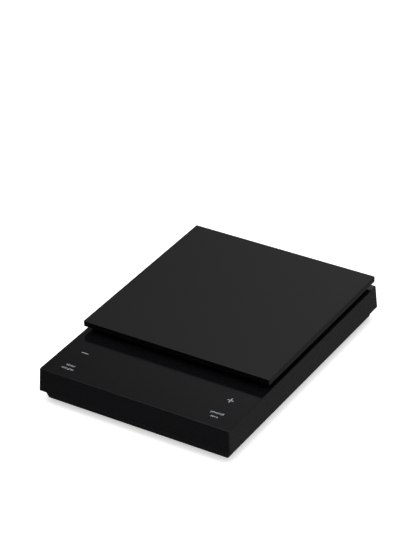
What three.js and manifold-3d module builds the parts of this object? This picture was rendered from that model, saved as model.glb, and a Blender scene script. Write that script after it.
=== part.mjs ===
// A slim electronic kitchen scale with a timer and touch keys.
//
// Millimetres. +Z is up, the control panel faces -Y, +X is to the right. The origin is on the
// surface that the scale stands on, under the middle of the housing.
//
// The square weighing plate rests on four silicone pads on a cross-shaped carrier. The carrier's foot
// goes down through a hole in the deck and is screwed to the free end of an aluminium load cell, and
// the other end of the load cell is screwed to the base tray. The circuit board, the display and the
// touch springs hang under the control panel, and two batteries lie in a bay in the tray.

import * as THREE from 'three';
import { mergeVertices } from 'three/addons/utils/BufferGeometryUtils.js';
import Module from 'manifold-3d';

const wasm = await Module();
wasm.setup();

// ---------------------------------------------------------------------------------------------
// Driving dimensions

// General clearances
const SEAT = 0.2; // between two faces that rest on each other
const SIDE_CLEARANCE = 0.3; // round a piece that drops into a pocket
const THREAD_CLEARANCE = 0.15; // round a screw in its threaded hole
const SHANK_CLEARANCE = 0.4; // round a screw in a hole that it passes through
const OVERCUT = 1; // how far a cutting tool runs past the face it opens
const SUNK = 0.4; // how far a boss or rib runs into the wall that it grows from

// Housing: the top shell
const HOUSING_WIDTH = 130.8; // along X, at the top edge
const HOUSING_LENGTH = 177.2; // along Y, at the top edge
const SHELL_HEIGHT = 15.5;
const SHELL_DRAFT = 0.8; // how far each side leans out from top to bottom
const SHELL_WALL = 1.8;
const DECK_THICKNESS = 2;
const CORNER_RADIUS = 0.8;
const INNER_RADIUS = 0.5;
const DECK_RIB_HEIGHT = 2;
const DECK_RIB_WIDTH = 1.4;
const DECK_RIB_X = 30;
const DECK_RIB_END = 8; // from the inner face of the rear wall

// Housing: the base tray
const TRAY_DEPTH = 5.95; // the part that shows below the shell
const TRAY_TAPER = 1.5; // how far each side leans in from the shell down to the floor
const TRAY_WALL = 1.8;
const TRAY_FLOOR = 2;
const TRAY_RIM = 3; // the part that stands up inside the shell
const RIM_CLEARANCE = 0.3;

// Screws that close the housing, and their posts
const CASE_SCREW = { shank: 1.3, length: 11, head: 2.4, headHeight: 1.7 };
const CASE_POST_INSET_X = 7.4; // from the housing's top edge
const CASE_POST_INSET_Y = 7.6;
const CASE_POST_MIDDLE_Y = 6;
const SHELL_POST_RADIUS = 3.2;
const TRAY_POST_RADIUS = 3.6;
const POST_MEETING = 1; // where the posts meet, above the shell's lower edge
const CASE_HEAD_DEPTH = 3; // from the tray's underside to the head's seat
const PILOT_SPARE = 0.8; // depth left over past a screw's tip
const SCREW_SLOT = { width: 0.3, length: 1.2, depth: 0.6 }; // shares of the head's radius and height

// Weighing plate
const PANEL_DEPTH = 46.4; // the control panel, in front of the plate
const PLATE_SETBACK = 0.8; // from the housing's rear top edge to the plate's
const PLATE_INSET = 0.4; // from the housing's side top edge to the plate's
const PLATE_THICKNESS = 3.8;
const PLATE_SKIN = 1.8;
const PLATE_RIM = 2;
const PLATE_GAP = 3.55; // between the deck and the plate
const PLATE_RIB_HEIGHT = 0.8;
const PLATE_RIB_WIDTH = 1.4;

// Pads between the plate and its carrier
const PAD_INSET = 17; // from the plate's edges to a pad's middle
const PAD_RADIUS = 5;
const PAD_HOLE_RADIUS = 2.6;
const PAD_THICKNESS = 1;
const PAD_SOCKET_WALL = 1.5;
const PAD_PEG_HEIGHT = 0.9;

// Carrier
const CARRIER_THICKNESS = 2.6;
const CARRIER_ARM_WIDTH = 11;
const CARRIER_HUB_RADIUS = 15;
const CARRIER_END_RADIUS = 7.5;
const CARRIER_FOOT_WIDTH = 12;
const CARRIER_FOOT_MARGIN = 4.5; // from a screw to the end of the foot
const FOOT_HOLE_CLEARANCE = 1.2;
const COLLAR_WALL = 1.2;
const COLLAR_MARGIN = 0.25; // left between the collar and the carrier at full travel
const CARRIER_SCREW = { shank: 1.9, length: 13, head: 3.3, headHeight: 1.6 };

// Load cell
const CELL_LENGTH = 75;
const CELL_WIDTH = 12.7;
const CELL_HEIGHT = 12.7;
const CELL_HOLE_END = 5; // from the end to the nearer screw
const CELL_HOLE_PITCH = 15;
const CELL_BORE_RADIUS = 4.4; // the two bores that thin the bar under the gauges
const CELL_BORE_PITCH = 14;
const CELL_SLOT_HEIGHT = 2.4;
const CELL_PAD_HEIGHT = 1.5; // the raised pad under the fixed end
const CELL_PAD_MARGIN = 1.5;
const CELL_SCREW = { shank: 1.9, length: 10, head: 3.3, headHeight: 1.9 };
const CELL_HEAD_DEPTH = 2.2;
const TRAVEL = 0.5; // from rest to the overload stop
const STOP_RADIUS = 2;
const STOP_RECESS = 0.6;
const STOP_KEY_RADIUS = 1; // the hexagonal socket in the stop screw
const STOP_KEY_DEPTH = 1;
const STOP_POST_RADIUS = 3.8;
const STOP_POST_HEIGHT = 0.6;
const GAUGE_LENGTH = 20;
const GAUGE_WIDTH = 9;
const GAUGE_THICKNESS = 0.8; // the coating lies flush in a pocket in the bar
const POTTING_LENGTH = 9;
const POTTING_THICKNESS = 3;
const POTTING_HEIGHT = 6;

// Feet
const FOOT_RADIUS = 6;
const FOOT_PROUD = 1.5;
const FOOT_RECESS = 0.9;
const FOOT_INSET_X = 15;
const FOOT_INSET_Y = 18;

// Touch keys and display, placed from the front and side top edges of the housing
const KEY_INSET_X = 15;
const KEY_ROWS = [10.5, 26.7]; // the word keys, then the plus and minus keys
const TOUCH_SPRING = { radius: 3, wire: 0.35, turns: 3 };
const DISPLAY_FROM_FRONT = 20.6;
const DISPLAY_WIDTH = 50;
const DISPLAY_DEPTH = 16;
const DISPLAY_HEIGHT = 6.5;
const DIFFUSER_MARGIN = 1.5;
const DIFFUSER_THICKNESS = 0.8;

// Circuit board
const BOARD_THICKNESS = 1.6;
const BOARD_DEPTH = 30;
const BOARD_FRONT_MARGIN = 5.6; // from the housing's front top edge
const BOARD_SIDE_MARGIN = 5.4;
const BOARD_POST_CLEARANCE = 0.8;
const BOARD_SCREW = { shank: 1.1, length: 6, head: 2.1, headHeight: 1.3 };
const BOARD_POST_RADIUS = 2.8;
const BOARD_POST_FROM_DISPLAY = 8;
const BOARD_POST_FROM_EDGE = 4;
const CONTROLLER_SIZE = 10;
const CONTROLLER_THICKNESS = 1.6;
const CONVERTER_WIDTH = 4;
const CONVERTER_LENGTH = 10;
const CHIP_SPACING = 16;
const BUZZER_RADIUS = 6;
const BUZZER_HEIGHT = 5;
const BUZZER_SOUND_HOLE = 1;
const BUZZER_X = -20;
const SOCKET_DEPTH = 5;
const SOCKET_HEIGHT = 5;
const SOCKET_FROM_EDGE = 0.5;
const CELL_SOCKET = { width: 10, x: 11 };
const BATTERY_SOCKET = { width: 8, x: -13 };

// Battery bay, batteries and contacts
const BATTERY_RADIUS = 5.25;
const BATTERY_LENGTH = 44.5;
const BATTERY_NUB_RADIUS = 1.9;
const BATTERY_NUB_LENGTH = 1;
const BATTERY_CLEARANCE = 0.4;
const BAY_WALL = 2;
const BAY_ROOF = 1.2;
const BAY_FROM_CELL = 8;
const CONTACT_THICKNESS = 0.5;
const CONTACT_WIDTH = 8;
const CONTACT_CLEARANCE = 0.35; // from the door's latch up to the contacts
const CONTACT_BUTTON_RADIUS = 1.6; // the raised middle that reaches a battery's nub
const CONTACT_BUTTON_HEIGHT = 1.5;
const CONTACT_SPRING = { radius: 2.4, endRadius: 1.7, wire: 0.35, turns: 3 };
const SPRING_SPACE = 4;
const TAG_WIDTH = 3;
const TAG_THICKNESS = 0.6;
const TAG_PROUD = 2.5;

// Battery door
const DOOR_THICKNESS = 1.4;
const DOOR_LEDGE = 1;
const HOOK_WIDTH = 4;
const HOOK_INSET = 2.5; // from the bay's side wall to the hook's middle
const HOOK_RISER = 0.85;
const HOOK_REACH = 2.5;
const HOOK_LEVEL = 1.4; // above the door
const HOOK_THICKNESS = 1.2;
const HOOK_SLOT_SPARE = 0.4;
const LATCH_WIDTH = 9;
const LATCH_THICKNESS = 0.8;
const LATCH_HEIGHT = 3;
const LATCH_CLEARANCE = 0.5;
const SCOOP_RADIUS = 7;
const SCOOP_DEPTH = 1;

// Wires inside the housing
const CABLE_RADIUS = 1;
const LEAD_RADIUS = 0.6;
const WIRE_GAP = 0.3; // between a wire's end and what it is joined to
const CABLE_DROP = 3; // how far a wire hangs below the straight line between its ends
const LEAD_DROP = 6;
const LEAD_SPREAD = 2; // from the socket's middle to each lead
const WIRE_LEAD = 0.12; // the share of its run that a wire leaves and arrives straight

// Fineness of round shapes, as the number of sides of a full circle
const HEX_SIDES = 6;
const SMALL_SIDES = 12;
const ROUND_SIDES = 24;
const WIRE_SIDES = 6;
const WIRE_STEPS = 16;
const COIL_STEPS_PER_TURN = 8;
const CORNER_STEPS = 2;

// ---------------------------------------------------------------------------------------------
// Levels and places that follow from the driving dimensions

const trayBottom = FOOT_PROUD;
const floorTop = trayBottom + TRAY_FLOOR;
const shellBottom = trayBottom + TRAY_DEPTH;
const rimTop = shellBottom + TRAY_RIM;
const deckTop = shellBottom + SHELL_HEIGHT;
const deckUnder = deckTop - DECK_THICKNESS;
const plateBottom = deckTop + PLATE_GAP;
const plateTop = plateBottom + PLATE_THICKNESS;
const plateCeiling = plateTop - PLATE_SKIN;
const padTop = plateCeiling - SEAT;
const carrierTop = padTop - PAD_THICKNESS - SEAT;
const carrierBottom = carrierTop - CARRIER_THICKNESS;
const postMeeting = shellBottom + POST_MEETING;

const housingFront = -HOUSING_LENGTH / 2;
const housingRear = HOUSING_LENGTH / 2;
const housingSide = HOUSING_WIDTH / 2;

const plateWidth = HOUSING_WIDTH - 2 * PLATE_INSET;
const plateLength = HOUSING_LENGTH - PANEL_DEPTH - PLATE_SETBACK;
const plateY = housingFront + PANEL_DEPTH + plateLength / 2;
const padX = plateWidth / 2 - PAD_INSET;
const padY = plateLength / 2 - PAD_INSET;
const pads = [[-padX, -padY], [padX, -padY], [-padX, padY], [padX, padY]]
  .map(([x, y]) => [x, plateY + y]);

const cellBottom = floorTop + CELL_PAD_HEIGHT + SEAT;
const cellTop = cellBottom + CELL_HEIGHT;
const cellFront = plateY - CELL_LENGTH / 2;
const cellRear = plateY + CELL_LENGTH / 2;
const cellEndMiddle = CELL_HOLE_END + CELL_HOLE_PITCH / 2;
const fixedHoles = [CELL_HOLE_END, CELL_HOLE_END + CELL_HOLE_PITCH].map((inset) => cellFront + inset);
const freeHoles = [CELL_HOLE_END, CELL_HOLE_END + CELL_HOLE_PITCH].map((inset) => cellRear - inset);
const footMiddle = cellRear - cellEndMiddle;
const footLength = CELL_HOLE_PITCH + 2 * CARRIER_FOOT_MARGIN;
const collarHeight = carrierBottom - TRAVEL - COLLAR_MARGIN - deckTop;

const casePostX = housingSide - CASE_POST_INSET_X;
const casePostY = housingRear - CASE_POST_INSET_Y;
const casePosts = [-casePostY, CASE_POST_MIDDLE_Y, casePostY]
  .flatMap((y) => [[-casePostX, y], [casePostX, y]]);
const feet = [-1, 1].flatMap((side) => [-1, 1].map((end) => [
  side * (housingSide - FOOT_INSET_X),
  end * (housingRear - FOOT_INSET_Y),
]));

const keyX = housingSide - KEY_INSET_X;
const displayY = housingFront + DISPLAY_FROM_FRONT;
const boardFront = housingFront + BOARD_FRONT_MARGIN;
const boardRear = boardFront + BOARD_DEPTH;
const boardWidth = HOUSING_WIDTH - 2 * BOARD_SIDE_MARGIN;
const boardTop = deckUnder - SEAT - DISPLAY_HEIGHT - SEAT;
const boardBottom = boardTop - BOARD_THICKNESS;
const boardPostX = DISPLAY_WIDTH / 2 + BOARD_POST_FROM_DISPLAY;
const boardPosts = [boardFront + BOARD_POST_FROM_EDGE, boardRear - BOARD_POST_FROM_EDGE]
  .flatMap((y) => [[-boardPostX, y], [boardPostX, y]]);
const socketY = boardRear - SOCKET_FROM_EDGE - SOCKET_DEPTH / 2;
const socketWireZ = boardTop + SEAT + SOCKET_HEIGHT / 2;

const flatSpace = SEAT + CONTACT_THICKNESS + CONTACT_BUTTON_HEIGHT + SEAT;
const bayWidth = 4 * BATTERY_RADIUS + 3 * BATTERY_CLEARANCE;
const bayLength = BATTERY_LENGTH + flatSpace + SPRING_SPACE;
const bayX = -(CELL_WIDTH / 2 + BAY_FROM_CELL + BAY_WALL + bayWidth / 2);
const bayFront = plateY - bayLength / 2;
const bayRear = plateY + bayLength / 2;
const doorTop = trayBottom + DOOR_THICKNESS;
const recessTop = doorTop + SEAT;
const batteryZ = recessTop + BATTERY_CLEARANCE + BATTERY_RADIUS;
const bayTop = batteryZ + BATTERY_RADIUS + BATTERY_CLEARANCE;
const batteryPitch = 2 * BATTERY_RADIUS + BATTERY_CLEARANCE;
const leftBatteryX = bayX - batteryPitch / 2;
const rightBatteryX = bayX + batteryPitch / 2;
const hookX = bayWidth / 2 - HOOK_INSET;
const hookBottom = doorTop + HOOK_LEVEL;
const hookTip = bayRear - SIDE_CLEARANCE - HOOK_RISER + HOOK_REACH;
const tagTip = bayFront - BAY_WALL - TAG_PROUD;
const contactBottom = doorTop + LATCH_HEIGHT + CONTACT_CLEARANCE;
const contactHeight = 2 * (batteryZ - contactBottom);

// ---------------------------------------------------------------------------------------------
// Finishes

function finish(color, roughness, metalness = 0) {
  return new THREE.MeshStandardMaterial({ color, roughness, metalness, flatShading: true });
}

const FINISHES = {
  plate: () => finish(0x1b1b1d, 0.42),
  shell: () => finish(0x18181a, 0.34),
  tray: () => finish(0x151517, 0.55),
  door: () => finish(0x161618, 0.55),
  rubber: () => finish(0x202022, 0.85),
  silicone: () => finish(0xb9bbb8, 0.6),
  carrier: () => finish(0x2a2b2e, 0.5),
  aluminium: () => finish(0xb9bcc0, 0.35, 1),
  steel: () => finish(0xa9abad, 0.3, 1),
  blackSteel: () => finish(0x2b2b2d, 0.4, 1),
  board: () => finish(0x0f5a34, 0.5),
  display: () => finish(0x2f3133, 0.4),
  diffuser: () => finish(0xd9dad6, 0.5),
  chip: () => finish(0x17181a, 0.5),
  socket: () => finish(0xe6e0cf, 0.5),
  potting: () => finish(0xe4e3df, 0.5),
  battery: () => finish(0x3a6ea5, 0.35, 0.3),
  brass: () => finish(0xc8ccd0, 0.3, 1),
  grey: () => finish(0x8d9094, 0.5),
  red: () => finish(0xa8201a, 0.5),
  black: () => finish(0x101010, 0.5),
};

// ---------------------------------------------------------------------------------------------
// Shapes

// A block on its base, with the middle of the base at x, y, z.
function block(width, length, height, x, y, z) {
  return new THREE.BoxGeometry(width, length, height).translate(x, y, z + height / 2);
}

// An upright cylinder, with the middle of its base at x, y, z.
function post(radius, height, x, y, z, sides = SMALL_SIDES) {
  const geometry = new THREE.CylinderGeometry(radius, radius, height, sides);
  return geometry.rotateX(Math.PI / 2).translate(x, y, z + height / 2);
}

// A cylinder lying along X, with its middle at x, y, z.
function crossBore(radius, length, x, y, z) {
  const geometry = new THREE.CylinderGeometry(radius, radius, length, ROUND_SIDES);
  return geometry.rotateZ(Math.PI / 2).translate(x, y, z);
}

// A flat bar from one point to another, with its base at z.
function bar([fromX, fromY], [toX, toY], width, height, z) {
  const length = Math.hypot(toX - fromX, toY - fromY);
  const angle = Math.atan2(toY - fromY, toX - fromX);
  const geometry = new THREE.BoxGeometry(length, width, height).rotateZ(angle);
  return geometry.translate((fromX + toX) / 2, (fromY + toY) / 2, z + height / 2);
}

function roundedRectangle(width, length, radius) {
  const x = width / 2 - radius;
  const y = length / 2 - radius;
  const corners = [[x, y], [-x, y], [-x, -y], [x, -y]];
  const outline = new THREE.Shape();
  corners.forEach(([cornerX, cornerY], turn) => {
    const start = turn * Math.PI / 2;
    outline.absarc(cornerX, cornerY, radius, start, start + Math.PI / 2);
  });
  return outline;
}

// A block with a rounded-rectangle outline whose width and length change from level to level.
function loft(levels, radius, x = 0, y = 0) {
  const base = levels[0];
  const geometry = new THREE.ExtrudeGeometry(roundedRectangle(base.width, base.length, radius), {
    depth: levels.length - 1,
    steps: levels.length - 1,
    bevelEnabled: false,
    curveSegments: CORNER_STEPS,
  });
  const position = geometry.attributes.position;
  for (let i = 0; i < position.count; i += 1) {
    const level = levels[Math.round(position.getZ(i))];
    const cornerX = position.getX(i);
    const cornerY = position.getY(i);
    const spreadX = Math.sign(cornerX) * (level.width - base.width) / 2;
    const spreadY = Math.sign(cornerY) * (level.length - base.length) / 2;
    position.setXYZ(i, cornerX + spreadX, cornerY + spreadY, level.z);
  }
  return geometry.translate(x, y, 0);
}

// A solid of revolution about an upright axis, from [radius, height] points.
function turned(points, sides) {
  const profile = points.map(([radius, height]) => new THREE.Vector2(radius, height));
  return new THREE.LatheGeometry(profile, sides).rotateX(Math.PI / 2);
}

// A round wire along a curve.
function wire(curve, radius, steps) {
  const section = new THREE.Shape().absarc(0, 0, radius, 0, 2 * Math.PI);
  return new THREE.ExtrudeGeometry(section, {
    extrudePath: curve,
    steps,
    curveSegments: WIRE_SIDES / 2,
  });
}

class Helix extends THREE.Curve {
  constructor(radius, endRadius, height, turns) {
    super();
    this.radius = radius;
    this.endRadius = endRadius;
    this.height = height;
    this.turns = turns;
  }

  getPoint(t, target = new THREE.Vector3()) {
    const angle = t * this.turns * 2 * Math.PI;
    const radius = THREE.MathUtils.lerp(this.radius, this.endRadius, t);
    return target.set(radius * Math.cos(angle), radius * Math.sin(angle), t * this.height);
  }
}

function coil({ radius, wire: wireRadius, turns }, endRadius, height) {
  const helix = new Helix(radius, endRadius, height, turns);
  return wire(helix, wireRadius, turns * COIL_STEPS_PER_TURN);
}

// ---------------------------------------------------------------------------------------------
// Joining and cutting

function toSolid(geometry) {
  const bare = geometry.clone();
  bare.deleteAttribute('normal');
  bare.deleteAttribute('uv');
  const merged = mergeVertices(bare);
  const surface = new wasm.Mesh({
    numProp: 3,
    vertProperties: new Float32Array(merged.attributes.position.array),
    triVerts: new Uint32Array(merged.index.array),
  });
  return new wasm.Manifold(surface);
}

function toGeometry(solid) {
  const surface = solid.getMesh();
  const geometry = new THREE.BufferGeometry();
  geometry.setAttribute('position', new THREE.BufferAttribute(surface.vertProperties, 3));
  geometry.setIndex(new THREE.BufferAttribute(surface.triVerts, 1));
  geometry.computeVertexNormals();
  return geometry;
}

function join(...geometries) {
  return geometries.map(toSolid).reduce((whole, piece) => whole.add(piece));
}

function cut(solid, ...geometries) {
  return geometries.map(toSolid).reduce((whole, tool) => whole.subtract(tool), solid);
}

const scale = new THREE.Group();
scale.name = 'kitchen_scale';

function addGeometry(name, geometry, finishName) {
  const mesh = new THREE.Mesh(geometry, FINISHES[finishName]());
  mesh.name = name;
  scale.add(mesh);
  return mesh;
}

function addSolid(name, solid, finishName) {
  return addGeometry(name, toGeometry(solid), finishName);
}

// ---------------------------------------------------------------------------------------------
// Outlines of the housing at one level, moved in by an inset on every side

function shellOutline(z, inset = 0) {
  const lean = SHELL_DRAFT * (deckTop - z) / SHELL_HEIGHT;
  return {
    z,
    width: HOUSING_WIDTH + 2 * (lean - inset),
    length: HOUSING_LENGTH + 2 * (lean - inset),
  };
}

function trayOutline(z, inset = 0) {
  const rimInset = SHELL_WALL + RIM_CLEARANCE + inset;
  if (z >= shellBottom) {
    return shellOutline(z, rimInset);
  }
  const taper = TRAY_TAPER * (shellBottom - z) / TRAY_DEPTH;
  return { ...shellOutline(shellBottom, rimInset + taper), z };
}

// ---------------------------------------------------------------------------------------------
// Screws

// A pan-head screw with a cross recess. The head's seat is at z, and the shank points up or down.
function addScrew(name, { shank, length, head, headHeight }, x, y, z, direction, finishName) {
  const slotWidth = head * SCREW_SLOT.width;
  const slotLength = head * SCREW_SLOT.length;
  const slotDepth = headHeight * SCREW_SLOT.depth;
  const slotZ = -headHeight - OVERCUT;
  const body = join(
    post(head, headHeight, 0, 0, -headHeight),
    post(shank, length + SUNK, 0, 0, -SUNK),
  );
  const screw = cut(
    body,
    block(slotWidth, slotLength, slotDepth + OVERCUT, 0, 0, slotZ),
    block(slotLength, slotWidth, slotDepth + OVERCUT, 0, 0, slotZ),
  );
  const mesh = addSolid(name, screw, finishName);
  mesh.position.set(x, y, z);
  mesh.rotation.x = direction === 'up' ? 0 : Math.PI;
}

// ---------------------------------------------------------------------------------------------
// Weighing plate and pads

function addWeighingPlate() {
  const pocketHeight = plateCeiling - plateBottom;
  const ribLength = plateLength - 2 * PLATE_RIM + 2 * SUNK;
  const ribWidth = plateWidth - 2 * PLATE_RIM + 2 * SUNK;
  const ribZ = plateCeiling - PLATE_RIB_HEIGHT;
  const socketRadius = PAD_RADIUS + SIDE_CLEARANCE;
  const socketHeight = SEAT + PAD_THICKNESS;
  let plate = cut(
    join(loft([
      { z: plateBottom, width: plateWidth, length: plateLength },
      { z: plateTop, width: plateWidth, length: plateLength },
    ], CORNER_RADIUS, 0, plateY)),
    block(plateWidth - 2 * PLATE_RIM, plateLength - 2 * PLATE_RIM, pocketHeight + OVERCUT,
      0, plateY, plateBottom - OVERCUT),
  );
  for (const share of [-1, 0, 1]) {
    const ribX = share * padX / 2;
    const ribY = plateY + share * padY / 2;
    plate = plate.add(join(
      block(PLATE_RIB_WIDTH, ribLength, PLATE_RIB_HEIGHT + SUNK, ribX, plateY, ribZ),
      block(ribWidth, PLATE_RIB_WIDTH, PLATE_RIB_HEIGHT + SUNK, 0, ribY, ribZ),
    ));
  }
  for (const [x, y] of pads) {
    plate = plate.add(cut(
      join(post(socketRadius + PAD_SOCKET_WALL, socketHeight + SUNK, x, y,
        plateCeiling - socketHeight, ROUND_SIDES)),
      post(socketRadius, socketHeight + OVERCUT, x, y,
        plateCeiling - socketHeight - OVERCUT, ROUND_SIDES),
    ));
  }
  addSolid('weighing_plate', plate, 'plate');
}

function addPads() {
  pads.forEach(([x, y], i) => {
    const pad = cut(
      join(post(PAD_RADIUS, PAD_THICKNESS, x, y, padTop - PAD_THICKNESS, ROUND_SIDES)),
      post(PAD_HOLE_RADIUS, PAD_THICKNESS + 2 * OVERCUT, x, y, padTop - PAD_THICKNESS - OVERCUT),
    );
    addSolid(`plate_pad_${i + 1}`, pad, 'silicone');
  });
}

// ---------------------------------------------------------------------------------------------
// Carrier

function addCarrier() {
  const hub = [0, plateY];
  const footBottom = cellTop + SEAT;
  const headSeat = carrierTop - CARRIER_SCREW.headHeight - SEAT;
  let carrier = join(
    post(CARRIER_HUB_RADIUS, CARRIER_THICKNESS, 0, plateY, carrierBottom, ROUND_SIDES),
    block(CARRIER_FOOT_WIDTH, footMiddle - plateY + footLength / 2, CARRIER_THICKNESS,
      0, (footMiddle + footLength / 2 + plateY) / 2, carrierBottom),
    block(CARRIER_FOOT_WIDTH, footLength, carrierTop - footBottom, 0, footMiddle, footBottom),
  );
  for (const pad of pads) {
    const [x, y] = pad;
    carrier = carrier.add(join(
      bar(hub, pad, CARRIER_ARM_WIDTH, CARRIER_THICKNESS, carrierBottom),
      post(CARRIER_END_RADIUS, CARRIER_THICKNESS, x, y, carrierBottom, ROUND_SIDES),
      post(PAD_HOLE_RADIUS - SIDE_CLEARANCE, PAD_PEG_HEIGHT + SEAT + SUNK, x, y, carrierTop - SUNK),
    ));
  }
  freeHoles.forEach((y, i) => {
    const boreLength = headSeat - footBottom + 2 * OVERCUT;
    carrier = cut(
      carrier,
      post(CARRIER_SCREW.shank + SHANK_CLEARANCE, boreLength, 0, y, footBottom - OVERCUT),
      post(CARRIER_SCREW.head + SIDE_CLEARANCE, carrierTop - headSeat + OVERCUT, 0, y, headSeat),
    );
    addScrew(`carrier_screw_${i + 1}`, CARRIER_SCREW, 0, y, headSeat + SEAT, 'down', 'steel');
  });
  addSolid('plate_carrier', carrier, 'carrier');
}

// ---------------------------------------------------------------------------------------------
// Load cell

function addLoadCell() {
  const middleZ = (cellBottom + cellTop) / 2;
  const boreLength = CELL_WIDTH + 2 * OVERCUT;
  const holeHeight = CELL_HEIGHT + 2 * OVERCUT;
  const holeRadius = CELL_SCREW.shank + THREAD_CLEARANCE;
  const pocketWidth = GAUGE_WIDTH + 2 * SIDE_CLEARANCE;
  const pocketLength = GAUGE_LENGTH + 2 * SIDE_CLEARANCE;
  const pocketDepth = GAUGE_THICKNESS + SEAT;
  const upperGaugeBottom = cellTop - GAUGE_THICKNESS;
  const bored = cut(
    join(block(CELL_WIDTH, CELL_LENGTH, CELL_HEIGHT, 0, plateY, cellBottom)),
    block(pocketWidth, pocketLength, pocketDepth + OVERCUT, 0, plateY, cellTop - pocketDepth),
    block(pocketWidth, pocketLength, pocketDepth + OVERCUT, 0, plateY, cellBottom - OVERCUT),
    crossBore(CELL_BORE_RADIUS, boreLength, 0, plateY - CELL_BORE_PITCH / 2, middleZ),
    crossBore(CELL_BORE_RADIUS, boreLength, 0, plateY + CELL_BORE_PITCH / 2, middleZ),
    block(boreLength, CELL_BORE_PITCH, CELL_SLOT_HEIGHT, 0, plateY, middleZ - CELL_SLOT_HEIGHT / 2),
    ...[...fixedHoles, ...freeHoles].map((y) => post(holeRadius, holeHeight, 0, y, cellBottom - OVERCUT)),
  );
  addSolid('load_cell', bored, 'aluminium');

  addGeometry('gauge_cover_upper', block(GAUGE_WIDTH, GAUGE_LENGTH, GAUGE_THICKNESS,
    0, plateY, upperGaugeBottom), 'potting');
  addGeometry('gauge_cover_lower', block(GAUGE_WIDTH, GAUGE_LENGTH, GAUGE_THICKNESS,
    0, plateY, cellBottom), 'potting');
  addGeometry('lead_potting', block(POTTING_THICKNESS, POTTING_LENGTH, POTTING_HEIGHT,
    CELL_WIDTH / 2 + SEAT + POTTING_THICKNESS / 2, cellFront + cellEndMiddle,
    middleZ - POTTING_HEIGHT / 2), 'potting');

  fixedHoles.forEach((y, i) => {
    const seat = trayBottom + CELL_HEAD_DEPTH - SEAT;
    addScrew(`load_cell_screw_${i + 1}`, CELL_SCREW, 0, y, seat, 'up', 'steel');
  });

  const stopBottom = trayBottom + STOP_RECESS;
  const stop = cut(
    join(post(STOP_RADIUS, cellBottom - TRAVEL - stopBottom, 0, footMiddle, stopBottom)),
    post(STOP_KEY_RADIUS, STOP_KEY_DEPTH + OVERCUT, 0, footMiddle, stopBottom - OVERCUT, HEX_SIDES),
  );
  addSolid('overload_stop_screw', stop, 'blackSteel');
}

// ---------------------------------------------------------------------------------------------
// Top shell

function addTopShell() {
  const holeWidth = CARRIER_FOOT_WIDTH + 2 * FOOT_HOLE_CLEARANCE;
  const holeLength = footLength + 2 * FOOT_HOLE_CLEARANCE;
  const pilotRadius = CASE_SCREW.shank + THREAD_CLEARANCE;
  const pilotTop = trayBottom + CASE_HEAD_DEPTH + CASE_SCREW.length + PILOT_SPARE;
  const postBottom = postMeeting + SEAT;
  const boardPostBottom = boardTop + SEAT;
  const boardPilotDepth = BOARD_SCREW.length - BOARD_THICKNESS + PILOT_SPARE;
  const ribRear = housingRear - SHELL_WALL - DECK_RIB_END;
  const ribLength = ribRear - boardRear;

  let shell = cut(
    join(loft([shellOutline(shellBottom), shellOutline(deckTop)], CORNER_RADIUS)),
    loft([
      shellOutline(shellBottom - OVERCUT, SHELL_WALL),
      shellOutline(deckUnder, SHELL_WALL),
    ], INNER_RADIUS),
  );
  shell = shell.add(join(block(
    holeWidth + 2 * COLLAR_WALL, holeLength + 2 * COLLAR_WALL, collarHeight + SUNK,
    0, footMiddle, deckTop - SUNK,
  )));
  for (const side of [-1, 1]) {
    shell = shell.add(join(block(DECK_RIB_WIDTH, ribLength, DECK_RIB_HEIGHT + SUNK,
      side * DECK_RIB_X, (ribRear + boardRear) / 2, deckUnder - DECK_RIB_HEIGHT)));
  }
  for (const [x, y] of casePosts) {
    shell = shell.add(join(post(SHELL_POST_RADIUS, deckUnder - postBottom + SUNK, x, y, postBottom)));
    shell = cut(shell, post(pilotRadius, pilotTop - postBottom + OVERCUT, x, y, postBottom - OVERCUT));
  }
  for (const [x, y] of boardPosts) {
    shell = shell.add(join(
      post(BOARD_POST_RADIUS, deckUnder - boardPostBottom + SUNK, x, y, boardPostBottom),
    ));
    shell = cut(shell, post(BOARD_SCREW.shank + THREAD_CLEARANCE, boardPilotDepth + OVERCUT,
      x, y, boardPostBottom - OVERCUT));
  }
  shell = cut(
    shell,
    block(holeWidth, holeLength, DECK_THICKNESS + collarHeight + 2 * OVERCUT,
      0, footMiddle, deckUnder - OVERCUT),
    block(
      DISPLAY_WIDTH + 2 * (DIFFUSER_MARGIN + SIDE_CLEARANCE),
      DISPLAY_DEPTH + 2 * (DIFFUSER_MARGIN + SIDE_CLEARANCE),
      DIFFUSER_THICKNESS + SEAT + OVERCUT,
      0, displayY, deckUnder - OVERCUT,
    ),
  );
  addSolid('top_shell', shell, 'shell');
}

// ---------------------------------------------------------------------------------------------
// Base tray

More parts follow.
